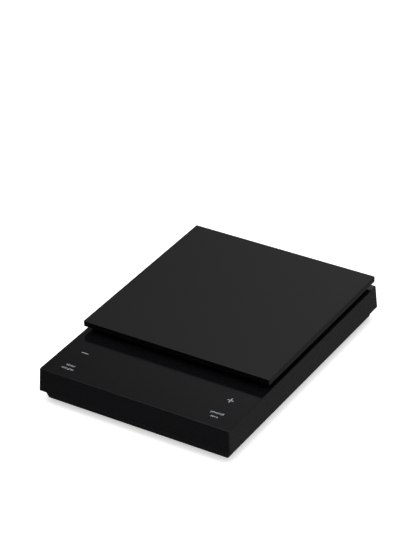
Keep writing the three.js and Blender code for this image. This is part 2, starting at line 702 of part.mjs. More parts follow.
function addBaseTray() {
  const padLength = CELL_HOLE_PITCH + CELL_HOLE_END + CARRIER_FOOT_MARGIN;
  const headRadius = CASE_SCREW.head + SIDE_CLEARANCE;
  const headSeat = trayBottom + CASE_HEAD_DEPTH;
  const below = trayBottom - OVERCUT;
  const wholeDepth = postMeeting - below + OVERCUT;

  let tray = cut(
    join(loft([
      trayOutline(trayBottom),
      trayOutline(shellBottom),
      trayOutline(rimTop),
    ], CORNER_RADIUS)),
    loft([
      trayOutline(floorTop, TRAY_WALL),
      trayOutline(shellBottom, TRAY_WALL),
      trayOutline(rimTop + OVERCUT, TRAY_WALL),
    ], INNER_RADIUS),
  );
  tray = tray.add(join(
    block(CELL_WIDTH + 2 * CELL_PAD_MARGIN, padLength, CELL_PAD_HEIGHT + SUNK,
      0, cellFront + padLength / 2, floorTop - SUNK),
    post(STOP_POST_RADIUS, STOP_POST_HEIGHT + SUNK, 0, footMiddle, floorTop - SUNK),
    block(bayWidth + 2 * BAY_WALL, bayLength + 2 * BAY_WALL, bayTop + BAY_ROOF - floorTop + SUNK,
      bayX, plateY, floorTop - SUNK),
  ));
  for (const [x, y] of casePosts) {
    tray = tray.add(join(post(TRAY_POST_RADIUS, postMeeting - floorTop + SUNK, x, y, floorTop - SUNK)));
    tray = cut(
      tray,
      post(headRadius, headSeat - below, x, y, below),
      post(CASE_SCREW.shank + SHANK_CLEARANCE, wholeDepth, x, y, below),
    );
  }
  for (const y of fixedHoles) {
    tray = cut(
      tray,
      post(CELL_SCREW.head + SIDE_CLEARANCE, CELL_HEAD_DEPTH + OVERCUT, 0, y, below),
      post(CELL_SCREW.shank + SHANK_CLEARANCE, wholeDepth, 0, y, below),
    );
  }
  for (const [x, y] of feet) {
    tray = cut(tray, post(FOOT_RADIUS + SIDE_CLEARANCE, FOOT_RECESS + OVERCUT, x, y, below, ROUND_SIDES));
  }
  tray = cut(
    tray,
    post(STOP_RADIUS + THREAD_CLEARANCE, wholeDepth, 0, footMiddle, below),
    block(bayWidth, bayLength, bayTop - below, bayX, plateY, below),
    block(bayWidth + 2 * DOOR_LEDGE, bayLength + 2 * DOOR_LEDGE, recessTop - below, bayX, plateY, below),
    post(SCOOP_RADIUS, SCOOP_DEPTH + OVERCUT, bayX, bayFront - DOOR_LEDGE, below, ROUND_SIDES),
  );
  for (const side of [-1, 1]) {
    tray = cut(tray, block(
      HOOK_WIDTH + 2 * SIDE_CLEARANCE,
      BAY_WALL + SUNK,
      HOOK_THICKNESS + 2 * HOOK_SLOT_SPARE,
      bayX + side * hookX,
      bayRear + BAY_WALL / 2,
      hookBottom - HOOK_SLOT_SPARE / 2,
    ));
  }
  for (const x of [leftBatteryX, rightBatteryX]) {
    const slot = TAG_THICKNESS + 2 * SIDE_CLEARANCE;
    tray = cut(tray, block(TAG_WIDTH + 2 * SIDE_CLEARANCE, BAY_WALL + 2 * SUNK, slot,
      x, bayFront - BAY_WALL / 2, batteryZ - slot / 2));
  }
  addSolid('base_tray', tray, 'tray');

  casePosts.forEach(([x, y], i) => {
    addScrew(`case_screw_${i + 1}`, CASE_SCREW, x, y, headSeat - SEAT, 'up', 'blackSteel');
  });
  feet.forEach(([x, y], i) => {
    addGeometry(`foot_${i + 1}`, post(FOOT_RADIUS, FOOT_PROUD + FOOT_RECESS - SEAT, x, y, 0, ROUND_SIDES),
      'rubber');
  });
}

// ---------------------------------------------------------------------------------------------
// Battery door, batteries and contacts

function addBatteryDoor() {
  const doorWidth = bayWidth + 2 * (DOOR_LEDGE - SIDE_CLEARANCE);
  const doorLength = bayLength + 2 * (DOOR_LEDGE - SIDE_CLEARANCE);
  const riserRear = bayRear - SIDE_CLEARANCE;
  const latchFront = bayFront + LATCH_CLEARANCE;
  let door = join(
    block(doorWidth, doorLength, DOOR_THICKNESS, bayX, plateY, trayBottom),
    block(LATCH_WIDTH, LATCH_THICKNESS, LATCH_HEIGHT + SUNK,
      bayX, latchFront + LATCH_THICKNESS / 2, doorTop - SUNK),
  );
  for (const side of [-1, 1]) {
    const x = bayX + side * hookX;
    door = door.add(join(
      block(HOOK_WIDTH, HOOK_RISER, HOOK_LEVEL + HOOK_THICKNESS + SUNK,
        x, riserRear - HOOK_RISER / 2, doorTop - SUNK),
      block(HOOK_WIDTH, HOOK_REACH, HOOK_THICKNESS, x, hookTip - HOOK_REACH / 2, hookBottom),
    ));
  }
  addSolid('battery_door', door, 'door');
}

// A battery along Y. Its positive end points along direction, and lies at tipY.
function addBattery(name, x, tipY, direction) {
  const bodyLength = BATTERY_LENGTH - BATTERY_NUB_LENGTH;
  const battery = turned([
    [0, 0],
    [BATTERY_RADIUS, 0],
    [BATTERY_RADIUS, bodyLength],
    [BATTERY_NUB_RADIUS, bodyLength],
    [BATTERY_NUB_RADIUS, BATTERY_LENGTH],
    [0, BATTERY_LENGTH],
  ], ROUND_SIDES);
  const mesh = addGeometry(name, battery, 'battery');
  mesh.rotation.x = -direction * Math.PI / 2;
  mesh.position.set(x, tipY - direction * BATTERY_LENGTH, batteryZ);
}

function contactPlate(x, wallY, direction, width = CONTACT_WIDTH) {
  const middleY = wallY + direction * (SEAT + CONTACT_THICKNESS / 2);
  return block(width, CONTACT_THICKNESS, contactHeight, x, middleY, contactBottom);
}

function contactButton(x, wallY, direction) {
  const height = CONTACT_BUTTON_HEIGHT + CONTACT_THICKNESS / 2;
  const middleY = wallY + direction * (SEAT + (CONTACT_THICKNESS + height) / 2);
  const radius = CONTACT_BUTTON_RADIUS;
  const geometry = new THREE.CylinderGeometry(radius, radius, height, SMALL_SIDES);
  return geometry.translate(x, middleY, batteryZ);
}

function contactCoil(x, wallY, direction) {
  const root = wallY + direction * (SEAT + CONTACT_THICKNESS / 2);
  const height = SPRING_SPACE - 2 * SEAT - CONTACT_THICKNESS / 2 - CONTACT_SPRING.wire;
  const geometry = coil(CONTACT_SPRING, CONTACT_SPRING.endRadius, height);
  return geometry.rotateX(-direction * Math.PI / 2).translate(x, root, batteryZ);
}

function solderTag(x) {
  const inner = bayFront + SEAT + CONTACT_THICKNESS / 2;
  const tagZ = batteryZ - TAG_THICKNESS / 2;
  return block(TAG_WIDTH, inner - tagTip, TAG_THICKNESS, x, (inner + tagTip) / 2, tagZ);
}

function addBatteries() {
  addBattery('battery_1', leftBatteryX, bayFront + flatSpace, -1);
  addBattery('battery_2', rightBatteryX, bayRear - flatSpace, 1);
  addSolid('battery_contact_positive', join(
    contactPlate(leftBatteryX, bayFront, 1),
    contactButton(leftBatteryX, bayFront, 1),
    solderTag(leftBatteryX),
  ), 'brass');
  addSolid('battery_contact_negative', join(
    contactPlate(rightBatteryX, bayFront, 1),
    solderTag(rightBatteryX),
    contactCoil(rightBatteryX, bayFront, 1),
  ), 'brass');
  addSolid('battery_link', join(
    contactPlate(bayX, bayRear, -1, CONTACT_WIDTH + batteryPitch),
    contactButton(rightBatteryX, bayRear, -1),
    contactCoil(leftBatteryX, bayRear, -1),
  ), 'brass');
}

// ---------------------------------------------------------------------------------------------
// Circuit board, display and touch springs

function addBoard() {
  const boardY = (boardFront + boardRear) / 2;
  const notchRadius = SHELL_POST_RADIUS + BOARD_POST_CLEARANCE;
  const through = BOARD_THICKNESS + 2 * OVERCUT;
  const frontPosts = casePosts.filter(([, y]) => y < boardRear);
  const board = cut(
    join(block(boardWidth, BOARD_DEPTH, BOARD_THICKNESS, 0, boardY, boardBottom)),
    ...frontPosts.map(([x, y]) => post(notchRadius, through, x, y, boardBottom - OVERCUT, ROUND_SIDES)),
    ...boardPosts.map(([x, y]) => post(BOARD_SCREW.shank + SHANK_CLEARANCE, through,
      x, y, boardBottom - OVERCUT)),
  );
  addSolid('main_board', board, 'board');
  boardPosts.forEach(([x, y], i) => {
    addScrew(`board_screw_${i + 1}`, BOARD_SCREW, x, y, boardBottom - SEAT, 'up', 'steel');
  });

  const chipTop = boardBottom - SEAT;
  addGeometry('controller_chip', block(CONTROLLER_SIZE, CONTROLLER_SIZE, CONTROLLER_THICKNESS,
    0, displayY, chipTop - CONTROLLER_THICKNESS), 'chip');
  addGeometry('converter_chip', block(CONVERTER_WIDTH, CONVERTER_LENGTH, CONTROLLER_THICKNESS,
    CHIP_SPACING, displayY, chipTop - CONTROLLER_THICKNESS), 'chip');
  const buzzer = cut(
    join(post(BUZZER_RADIUS, BUZZER_HEIGHT, BUZZER_X, displayY, chipTop - BUZZER_HEIGHT, ROUND_SIDES)),
    post(BUZZER_SOUND_HOLE, 2 * OVERCUT, BUZZER_X, displayY, chipTop - BUZZER_HEIGHT - OVERCUT),
  );
  addSolid('buzzer', buzzer, 'chip');

  for (const [name, socket] of [['load_cell_socket', CELL_SOCKET], ['battery_socket', BATTERY_SOCKET]]) {
    addGeometry(name, block(socket.width, SOCKET_DEPTH, SOCKET_HEIGHT,
      socket.x, socketY, boardTop + SEAT), 'socket');
  }
}

function addDisplay() {
  addGeometry('display_module', block(DISPLAY_WIDTH, DISPLAY_DEPTH, DISPLAY_HEIGHT,
    0, displayY, boardTop + SEAT), 'display');
  addGeometry('display_diffuser', block(
    DISPLAY_WIDTH + 2 * DIFFUSER_MARGIN,
    DISPLAY_DEPTH + 2 * DIFFUSER_MARGIN,
    DIFFUSER_THICKNESS,
    0, displayY, deckUnder,
  ), 'diffuser');
}

function addTouchSprings() {
  const { radius, wire: wireRadius } = TOUCH_SPRING;
  const springBottom = boardTop + SEAT + wireRadius;
  const springTop = deckUnder - SEAT - wireRadius;
  const [wordRow, signRow] = KEY_ROWS;
  const keys = [
    ['touch_spring_left', -keyX, wordRow],
    ['touch_spring_minus', -keyX, signRow],
    ['touch_spring_right', keyX, wordRow],
    ['touch_spring_plus', keyX, signRow],
  ];
  for (const [name, x, row] of keys) {
    const spring = coil(TOUCH_SPRING, radius, springTop - springBottom);
    addGeometry(name, spring.translate(x, housingFront + row, springBottom), 'brass');
  }
}

// ---------------------------------------------------------------------------------------------
// Wires

// A slack wire between two points, hanging a little below the straight line between them.
function addWire(name, radius, start, end, drop, finishName) {
  const from = new THREE.Vector3(...start);
  const to = new THREE.Vector3(...end);
  const sag = new THREE.Vector3(0, 0, -drop);
  const leave = from.clone().lerp(to, WIRE_LEAD);
  leave.z = from.z;
  const arrive = from.clone().lerp(to, 1 - WIRE_LEAD);
  arrive.z = to.z;
  arrive.x = to.x;
  const middle = from.clone().lerp(to, 0.5).add(sag);
  const curve = new THREE.CatmullRomCurve3([from, leave, middle, arrive, to]);
  addGeometry(name, wire(curve, radius, WIRE_STEPS), finishName);
}

function addWires() {
  const socketRear = socketY + SOCKET_DEPTH / 2 + WIRE_GAP;
  const pottingX = CELL_WIDTH / 2 + SEAT + POTTING_THICKNESS / 2;
  const pottingFront = cellFront + cellEndMiddle - POTTING_LENGTH / 2 - WIRE_GAP;
  const cellMiddleZ = (cellBottom + cellTop) / 2;
  addWire('load_cell_cable', CABLE_RADIUS, [pottingX, pottingFront, cellMiddleZ],
    [CELL_SOCKET.x, socketRear, socketWireZ], CABLE_DROP, 'grey');
  const leads = [
    ['battery_lead_positive', leftBatteryX, -1, 'red'],
    ['battery_lead_negative', rightBatteryX, 1, 'black'],
  ];
  for (const [name, x, side, finishName] of leads) {
    addWire(name, LEAD_RADIUS, [x, tagTip - WIRE_GAP, batteryZ],
      [BATTERY_SOCKET.x + side * LEAD_SPREAD, socketRear, socketWireZ], LEAD_DROP, finishName);
  }
}

addWeighingPlate();
addPads();
addCarrier();
addLoadCell();
addTopShell();
addBaseTray();
addBatteryDoor();
addBatteries();
addBoard();
addDisplay();
addTouchSprings();
addWires();

export default scale;
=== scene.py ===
"""A slim black kitchen scale with a timer and touch keys, on a pale floor in soft studio light.

Metres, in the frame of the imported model: +Z is up, the control panel faces -Y, and the scale stands
on z = 0. The mouldings, screws, feet, batteries and contacts are modelled here with fine edges.
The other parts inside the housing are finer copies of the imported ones.
"""

import math

import bmesh
import bpy
from mathutils import Matrix, Vector


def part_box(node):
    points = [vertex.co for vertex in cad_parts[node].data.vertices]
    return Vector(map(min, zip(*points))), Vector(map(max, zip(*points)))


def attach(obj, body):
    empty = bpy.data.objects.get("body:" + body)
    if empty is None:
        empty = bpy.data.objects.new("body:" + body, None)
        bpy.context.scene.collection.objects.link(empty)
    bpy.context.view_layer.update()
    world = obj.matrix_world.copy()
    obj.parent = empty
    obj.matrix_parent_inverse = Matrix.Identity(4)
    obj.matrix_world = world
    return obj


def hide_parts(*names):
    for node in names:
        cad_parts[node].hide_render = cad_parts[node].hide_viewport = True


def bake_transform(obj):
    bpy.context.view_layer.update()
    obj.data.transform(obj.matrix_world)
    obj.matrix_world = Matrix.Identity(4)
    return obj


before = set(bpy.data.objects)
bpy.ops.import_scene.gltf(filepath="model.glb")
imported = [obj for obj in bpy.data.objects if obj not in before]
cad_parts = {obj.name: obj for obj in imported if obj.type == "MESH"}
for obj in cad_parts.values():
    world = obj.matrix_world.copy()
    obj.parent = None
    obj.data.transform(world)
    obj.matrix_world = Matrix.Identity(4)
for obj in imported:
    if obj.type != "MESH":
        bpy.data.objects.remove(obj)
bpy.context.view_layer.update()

MM = 0.001

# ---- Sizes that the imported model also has, where a node's box doesn't give them

SHELL_HEIGHT = 15.5 * MM  # from the shell's lower edge to the deck
SHELL_DRAFT = 0.8 * MM  # how far each side leans out from top to bottom
SHELL_WALL = 1.8 * MM
DECK_THICKNESS = 2 * MM
CORNER_RADIUS = 0.8 * MM
INNER_RADIUS = 0.5 * MM
COLLAR_WALL = 1.2 * MM
DECK_RIB_X = 30 * MM
DECK_RIB_WIDTH = 1.4 * MM
DECK_RIB_END = 8 * MM
SHELL_POST_RADIUS = 3.2 * MM
BOARD_POST_RADIUS = 2.8 * MM
TRAY_TAPER = 1.5 * MM
TRAY_WALL = 1.8 * MM
TRAY_FLOOR = 2 * MM
TRAY_RIM = 3 * MM
TRAY_POST_RADIUS = 3.6 * MM
POST_MEETING = 1 * MM
RIM_CLEARANCE = 0.3 * MM
CELL_PAD_MARGIN = 1.5 * MM
STOP_POST_RADIUS = 3.8 * MM
STOP_POST_HEIGHT = 0.6 * MM
PLATE_SKIN = 1.8 * MM
PLATE_RIM = 2 * MM
PLATE_RIB_WIDTH = 1.4 * MM
PLATE_RIB_HEIGHT = 0.8 * MM
PAD_SOCKET_WALL = 1.5 * MM
CARRIER_THICKNESS = 2.6 * MM
CARRIER_ARM_WIDTH = 11 * MM
CARRIER_HUB_RADIUS = 15 * MM
CARRIER_END_RADIUS = 7.5 * MM
PEG_RADIUS = 2.3 * MM
FOOT_RECESS = 0.9 * MM
BAY_WALL = 2 * MM
BAY_ROOF = 1.2 * MM
BATTERY_CLEARANCE = 0.4 * MM
DOOR_THICKNESS = 1.4 * MM
DOOR_LEDGE = 1 * MM
HOOK_WIDTH = 4 * MM
HOOK_INSET = 2.5 * MM
HOOK_RISER = 0.85 * MM
HOOK_REACH = 2.5 * MM
HOOK_LEVEL = 1.4 * MM
HOOK_THICKNESS = 1.2 * MM
LATCH_WIDTH = 9 * MM
LATCH_THICKNESS = 0.8 * MM
LATCH_SETBACK = 0.5 * MM
SCOOP_RADIUS = 7 * MM
SCOOP_DEPTH = 1 * MM
TAG_WIDTH = 3 * MM
TAG_THICKNESS = 0.6 * MM
CONTACT_THICKNESS = 0.5 * MM
CONTACT_WIDTH = 8 * MM
CONTACT_GAP = 0.35 * MM  # between a contact and the door
CLEARANCE = 0.3 * MM
SEAT = 0.2 * MM
HOOK_ROOM = 3 * SEAT
SUNK = 0.4 * MM
PAST = 1 * MM  # how far a cutting shape runs past the face it opens

# Screws: the radius of the shank, the height of the head, and how deep the counterbore goes
CASE_SCREW = {"shank": 1.3 * MM, "head": 1.7 * MM, "seat": 3 * MM}
CELL_SCREW = {"shank": 1.9 * MM, "head": 1.9 * MM, "seat": 2.2 * MM}
CARRIER_SCREW = {"shank": 1.9 * MM, "head": 1.6 * MM}
BOARD_SCREW = {"shank": 1.1 * MM, "head": 1.3 * MM}
SHANK_CLEARANCE = 0.4 * MM
THREAD_CLEARANCE = 0.15 * MM

# Sizes that only the finished pieces have
PEG_RISE = 1.1 * MM
PAD_EDGE = 0.3 * MM
LEG_CORNER = 1 * MM
CARRIER_HOLE_CLEARANCE = 1.2 * MM
CARRIER_HOLE_CORNER = 0.6 * MM
COLLAR_CORNER = 1.5 * MM
DECK_RIB_HEIGHT = 2 * MM
CELL_PAD_LENGTH = 24.5 * MM
BAY_OUTER_CORNER = 0.6 * MM
BAY_INNER_CORNER = 0.4 * MM
DOOR_RECESS_CORNER = 1 * MM
DOOR_CORNER = 0.9 * MM
DOOR_EDGE = 0.2 * MM
GRIP_GROOVES = 4
GRIP_FIRST = 3 * MM
GRIP_PITCH = 1.7 * MM
GRIP_HALF_WIDTH = 5 * MM
GROOVE_HALF_WIDTH = 0.4 * MM
GROOVE_DEPTH = 0.35 * MM
GROOVE_CORNER = 0.38 * MM
FOOT_EDGE = 0.4 * MM
FOOT_HALF_WIDTH = 6 * MM  # of the carrier's foot on the load cell
FOOT_HALF_LENGTH = 12 * MM
STOP_SCREW_EDGE = 0.25 * MM
STOP_SOCKET_RADIUS = 1 * MM
STOP_SOCKET_DEPTH = 1 * MM
SOCKET_SIDES = 6
SCREW_TIP = 0.3 * MM
HEAD_EDGE_SHARE = 0.45  # of the head's height
RECESS_WIDTH_SHARE = 0.15  # of the head's radius, like the next one
RECESS_LENGTH_SHARE = 0.6
RECESS_FLOOR_SHARE = 0.4  # of the head's height
NUB_RADIUS = 1.9 * MM
NUB_HEIGHT = 1 * MM
NUB_EDGE = 0.3 * MM
NUB_RING = 1.2 * MM  # how far past the nub the can's end cap begins
NUB_GROOVE = 1 * MM
NUB_GROOVE_DEPTH = 0.15 * MM
SLEEVE_THICKNESS = 0.12 * MM
SLEEVE_LIP = 0.8 * MM
SLEEVE_GAP = 0.02 * MM
BATTERY_SHOULDER = 0.5 * MM
BUTTON_RADIUS = 1.6 * MM
BUTTON_HEIGHT = 1.5 * MM
BUTTON_EDGE = 0.35 * MM
COIL_REACH = 2.7 * MM
COIL_RADIUS = 2.4 * MM
COIL_END_RADIUS = 1.7 * MM
COIL_WIRE = 0.35 * MM
COIL_TURNS = 3

# Printed legends
INK_HEIGHT = 0.012 * MM
LETTER_HEIGHT = 0.73  # of a tall letter, where the font's size is 1
FONT_DEPTH = 0.01
STROKE_CORNER = 0.1 * MM
WORD_HEIGHT = 1.9 * MM
MINUS_SIZE = (4.6 * MM, 0.45 * MM)
PLUS_ACROSS = (4 * MM, 0.5 * MM)
PLUS_ALONG = (0.5 * MM, 4.35 * MM)
SIGN_RISE = 0.25 * MM  # from the key's middle
MINUS_DROP = 0.35 * MM
LEFT_SHIFT = 0.3 * MM
# Each word with its place from the key's middle and its width
LEFT_WORDS = (("timer", 0, 0.5 * MM, 6.1 * MM), ("unit g/oz", 0, -3 * MM, 8 * MM))
RIGHT_WORDS = (("power/off", -0.1 * MM, 1.3 * MM, 8.5 * MM), ("zero", 0, -2.4 * MM, 4.8 * MM))

# Edge rounding and shading of the finished pieces
MOULDED_EDGE = 0.35 * MM
CAST_EDGE = 0.3 * MM
FINE_EDGE = 0.15 * MM
DOOR_FINE_EDGE = 0.12 * MM
SHEET_EDGE = 0.1 * MM
SCREW_EDGE = 0.06 * MM
SHARP_ANGLE = math.radians(30)
SHADE_ANGLE = math.radians(40)
SIDE_ANGLE = math.radians(50)
FLAT_ANGLE = math.radians(0.5)

# How finely round shapes are divided
ROUND_STEPS = 48
BROAD_STEPS = 64
STOP_SCREW_STEPS = 40
SMALL_STEPS = 32
PILOT_STEPS = 24
COIL_STEPS = 24  # in each turn
WIRE_STEPS = 3
QUARTER_STEPS = 5
CORNER_STEPS = 8
RIM_STEPS = 4

# Camera: turned about Z and raised, around a point to the left of and behind the plate's middle
CAMERA_AZIMUTH = math.radians(32.515)
CAMERA_ELEVATION = math.radians(31.852)
CAMERA_ROLL = math.radians(-1.889)
CAMERA_DISTANCE = 1418.9 * MM
CAMERA_LENS = 148.36
CAMERA_SENSOR = 36
CAMERA_NEAR = 0.05
CAMERA_FAR = 50
AIM_LEFT = 24.87 * MM
AIM_BACK = 13.71 * MM

# Light: the levels of the white tent, and what black gloss mirrors instead of it
TENT_LEVEL = 0.9
BACKDROP_LEVEL = 1.05
MIRRORED_LEVEL = 0.103
MIRRORED_LEAN = (0.1, 0.014, 0.0)
REAR_BOX_TOWARDS = (-0.359, 0.836, 0.416)
REAR_BOX_TIGHTNESS = 89
REAR_BOX_LEVEL = 1.15
FLOOR_GLOW = 0.45
FLOOR_SIZE = 4
FLOOR_STEPS = 8
OVERHEAD_PLACE = (0.1, 0.1, 2.2)
OVERHEAD_SIZE = 2.4
OVERHEAD_POWER = 34

# Noise in the materials
GRAIN_DETAIL = 2
CLOUD_DETAIL = 3
LINE_DETAIL = 4
CLOUD_SHARE = 0.4

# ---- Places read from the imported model


def centre_of(node):
    low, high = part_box(node)
    return (low + high) / 2


def radius_of(node):
    low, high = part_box(node)
    return (high.x - low.x) / 2


def numbered(stem, count):
    return [f"{stem}_{number}" for number in range(1, count + 1)]


CASE_SCREWS = numbered("case_screw", 6)
CELL_SCREWS = numbered("load_cell_screw", 2)
CARRIER_SCREWS = numbered("carrier_screw", 2)
BOARD_SCREWS = numbered("board_screw", 4)
FEET = numbered("foot", 4)
PADS = numbered("plate_pad", 4)

plate_low, plate_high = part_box("weighing_plate")
plate_middle = (plate_low + plate_high) / 2
plate_ceiling = plate_high.z - PLATE_SKIN
shell_low, shell_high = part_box("top_shell")
tray_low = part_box("base_tray")[0]
door_low, door_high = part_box("battery_door")
carrier_low, carrier_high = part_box("plate_carrier")
cell_low, cell_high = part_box("load_cell")
deck = shell_low.z + SHELL_HEIGHT
deck_under = deck - DECK_THICKNESS
housing_side = shell_high.x - SHELL_DRAFT
housing_rear = shell_high.y - SHELL_DRAFT
tray_floor = tray_low.z + TRAY_FLOOR
bay_side = (door_high.x - door_low.x) / 2 - DOOR_LEDGE + CLEARANCE
bay_front = door_low.y + DOOR_LEDGE - CLEARANCE
bay_rear = door_high.y + CLEARANCE + HOOK_RISER - HOOK_REACH
bay_x = centre_of("battery_door").x
bay_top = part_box("battery_1")[1].z + BATTERY_CLEARANCE
free_end = centre_of("overload_stop_screw")
contact_bottom = door_high.z + CONTACT_GAP
hook_places = [bay_x + side * (bay_side - HOOK_INSET) for side in (-1, 1)]
BENDING = "bending with the load cell"

# ---- Camera, floor and light


def add_camera():
    aim = Vector((plate_middle.x - AIM_LEFT, plate_middle.y + AIM_BACK, plate_high.z))
    back = Vector((
        math.sin(CAMERA_AZIMUTH) * math.cos(CAMERA_ELEVATION),
        -math.cos(CAMERA_AZIMUTH) * math.cos(CAMERA_ELEVATION),
        math.sin(CAMERA_ELEVATION),
    ))
    right = Vector((math.cos(CAMERA_AZIMUTH), math.sin(CAMERA_AZIMUTH), 0))
    facing = Matrix((right, back.cross(right), back)).transposed().to_4x4()
    data = bpy.data.cameras.new("camera")
    data.lens = CAMERA_LENS
    data.sensor_width = CAMERA_SENSOR
    data.clip_start = CAMERA_NEAR
    data.clip_end = CAMERA_FAR
    camera = bpy.data.objects.new("camera", data)
    bpy.context.scene.collection.objects.link(camera)
    place = Matrix.Translation(aim + CAMERA_DISTANCE * back)
    camera.matrix_world = place @ facing @ Matrix.Rotation(CAMERA_ROLL, 4, "Z")
    bpy.context.scene.camera = camera


def add_world():
    """A white tent: bright to the eye and to dull surfaces, and dim where black gloss mirrors it."""
    world = bpy.data.worlds.new("studio")
    bpy.context.scene.world = world
    world.use_nodes = True
    world.cycles.sampling_method = "NONE"
    tree = world.node_tree
    tree.nodes.clear()
    path = add(tree, "ShaderNodeLightPath")
    place = add(tree, "ShaderNodeTexCoord").outputs["Generated"]

    def along(direction):
        dot = add(tree, "ShaderNodeVectorMath", {0: place, 1: direction}, operation="DOT_PRODUCT")
        return dot.outputs["Value"]

    def worked_out(operation, first, second):
        return add(tree, "ShaderNodeMath", {0: first, 1: second}, operation=operation).outputs[0]

    ahead = worked_out("MAXIMUM", along(REAR_BOX_TOWARDS), 0)
    rear_box = worked_out("MULTIPLY", worked_out("POWER", ahead, REAR_BOX_TIGHTNESS), REAR_BOX_LEVEL)
    even = worked_out("ADD", along(MIRRORED_LEAN), MIRRORED_LEVEL)
    mirrored = worked_out("ADD", even, rear_box)
    level = add(tree, "ShaderNodeMix", {
        "Factor": path.outputs["Is Glossy Ray"], "A": TENT_LEVEL, "B": mirrored,
    })
    seen = add(tree, "ShaderNodeMix", {
        "Factor": path.outputs["Is Camera Ray"], "A": level.outputs["Result"], "B": BACKDROP_LEVEL,
    })
    back = add(tree, "ShaderNodeBackground", {"Strength": seen.outputs["Result"]})
    add(tree, "ShaderNodeOutputWorld", {"Surface": back.outputs[0]})


def add_overhead_light():
    data = bpy.data.lights.new("overhead", "AREA")
    data.shape = "RECTANGLE"
    data.size = OVERHEAD_SIZE
    data.size_y = OVERHEAD_SIZE
    data.energy = OVERHEAD_POWER
    light = bpy.data.objects.new("overhead", data)
    bpy.context.scene.collection.objects.link(light)
    light.location = OVERHEAD_PLACE
    light.rotation_euler = (-Vector(OVERHEAD_PLACE)).to_track_quat("-Z", "Y").to_euler()
    light.visible_camera = False


def add_floor():
    bm = bmesh.new()
    bmesh.ops.create_grid(bm, x_segments=FLOOR_STEPS, y_segments=FLOOR_STEPS, size=FLOOR_SIZE)
    floor = piece("floor", bm, white_paper())
    floor.visible_glossy = False


# ---- Materials


def linear(colour):
    """An sRGB hex colour as a linear one."""
    shares = [int(colour[start:start + 2], 16) / 255 for start in (1, 3, 5)]
    return (*[s / 12.92 if s <= 0.04045 else ((s + 0.055) / 1.055) ** 2.4 for s in shares], 1)


def add(tree, kind, inputs=None, **settings):
    """A node with its settings, and with each input set to a value or linked from another node."""
    made = tree.nodes.new(kind)
    for name, value in settings.items():
        setattr(made, name, value)
    for name, value in (inputs or {}).items():
        if isinstance(value, bpy.types.NodeSocket):
            tree.links.new(value, made.inputs[name])
        else:
            made.inputs[name].default_value = value
    return made


def start(name, **inputs):
    """A new material: its node tree, its shader and the place on the piece."""
    material = bpy.data.materials.new(name)
    material.use_nodes = True
    tree = material.node_tree
    tree.nodes.clear()
    shader = add(tree, "ShaderNodeBsdfPrincipled", inputs)
    add(tree, "ShaderNodeOutputMaterial", {"Surface": shader.outputs[0]})
    place = add(tree, "ShaderNodeTexCoord").outputs["Object"]
    return material, tree, shader, place


def finish(tree, shader, pattern, colours, roughness, relief):
    """One pattern drives the colour, the roughness and the height of the surface."""
    tone = add(tree, "ShaderNodeMix", {0: pattern, 6: linear(colours[0]), 7: linear(colours[1])},
               data_type="RGBA")
    tree.links.new(tone.outputs[2], shader.inputs["Base Color"])
    gloss = add(tree, "ShaderNodeMapRange", {
        "Value": pattern, "To Min": roughness[0], "To Max": roughness[1],
    })
    tree.links.new(gloss.outputs[0], shader.inputs["Roughness"])
    bump = add(tree, "ShaderNodeBump", {"Height": pattern, "Distance": relief, "Strength": 1})
    tree.links.new(bump.outputs[0], shader.inputs["Normal"])


def noise(tree, place, size, detail):
    made = add(tree, "ShaderNodeTexNoise", {"Vector": place, "Scale": 1 / size, "Detail": detail})
    return made.outputs[0]


def grained(name, grain, cloud, colours, roughness, relief, **inputs):
    """A surface with a fine grain over broader clouds, both as noise of a real size."""
    material, tree, shader, place = start(name, **inputs)
    fine = noise(tree, place, grain, GRAIN_DETAIL)
    broad = noise(tree, place, cloud, CLOUD_DETAIL)
    both = add(tree, "ShaderNodeMix", {"Factor": CLOUD_SHARE, "A": fine, "B": broad})
    finish(tree, shader, both.outputs[0], colours, roughness, relief)
    return material


def brushed(name, pitch, stretch, colours, roughness, relief, **inputs):
    """A surface with fine lines along Y, pitch apart."""
    material, tree, shader, place = start(name, **inputs)
    drawn = add(tree, "ShaderNodeMapping", {"Vector": place, "Scale": (1, 1 / stretch, 1)})
    lines = noise(tree, drawn.outputs[0], pitch, LINE_DETAIL)
    finish(tree, shader, lines, colours, roughness, relief)
    return material


def plate_abs():
    # Black ABS from a finely spark-eroded mould: satin, so lights spread into a soft glow.
    return grained("satin_abs", 0.5 * MM, 14 * MM, ("#060607", "#09090a"), (0.37, 0.43), 0.002 * MM,
                   IOR=1.53)


def polished_blend(name, dark, light):
    # Black polycarbonate and ABS blend from a polished mould: it mirrors what stands near it.
    return grained(name, 0.6 * MM, 18 * MM, (dark, light), (0.1, 0.14), 0.0008 * MM, IOR=1.585)


def tray_abs():
    # Black ABS from an etched mould: dull and very slightly pebbled. The real grit is finer.
    return grained("etched_abs", 0.7 * MM, 10 * MM, ("#0b0b0c", "#101011"), (0.42, 0.52), 0.01 * MM,
                   IOR=1.53)


def door_abs():
    # The same etched ABS from another mould, a shade greyer.
    return grained("etched_door_abs", 0.7 * MM, 8 * MM, ("#0d0d0e", "#131314"), (0.44, 0.54), 0.01 * MM,
                   IOR=1.53)


def foot_rubber():
    # Black nitrile rubber: almost no gloss, with a bloom that greys it in patches.
    return grained("nitrile_rubber", 0.4 * MM, 3 * MM, ("#161617", "#232325"), (0.75, 0.9), 0.015 * MM,
                   IOR=1.52)


def pad_silicone():
    # Moulded grey silicone: milky, with light passing a short way into it.
    return grained("silicone_rubber", 0.4 * MM, 4 * MM, ("#a9aba8", "#babcb8"), (0.5, 0.6), 0.005 * MM,
                   IOR=1.41)


def carrier_alloy():
    # Die-cast aluminium, blasted and anodised black: a fine metallic sparkle.
    return grained("black_anodised_casting", 0.35 * MM, 6 * MM, ("#2c2e31", "#3b3d41"), (0.42, 0.56),
                   0.012 * MM, Metallic=0.9)


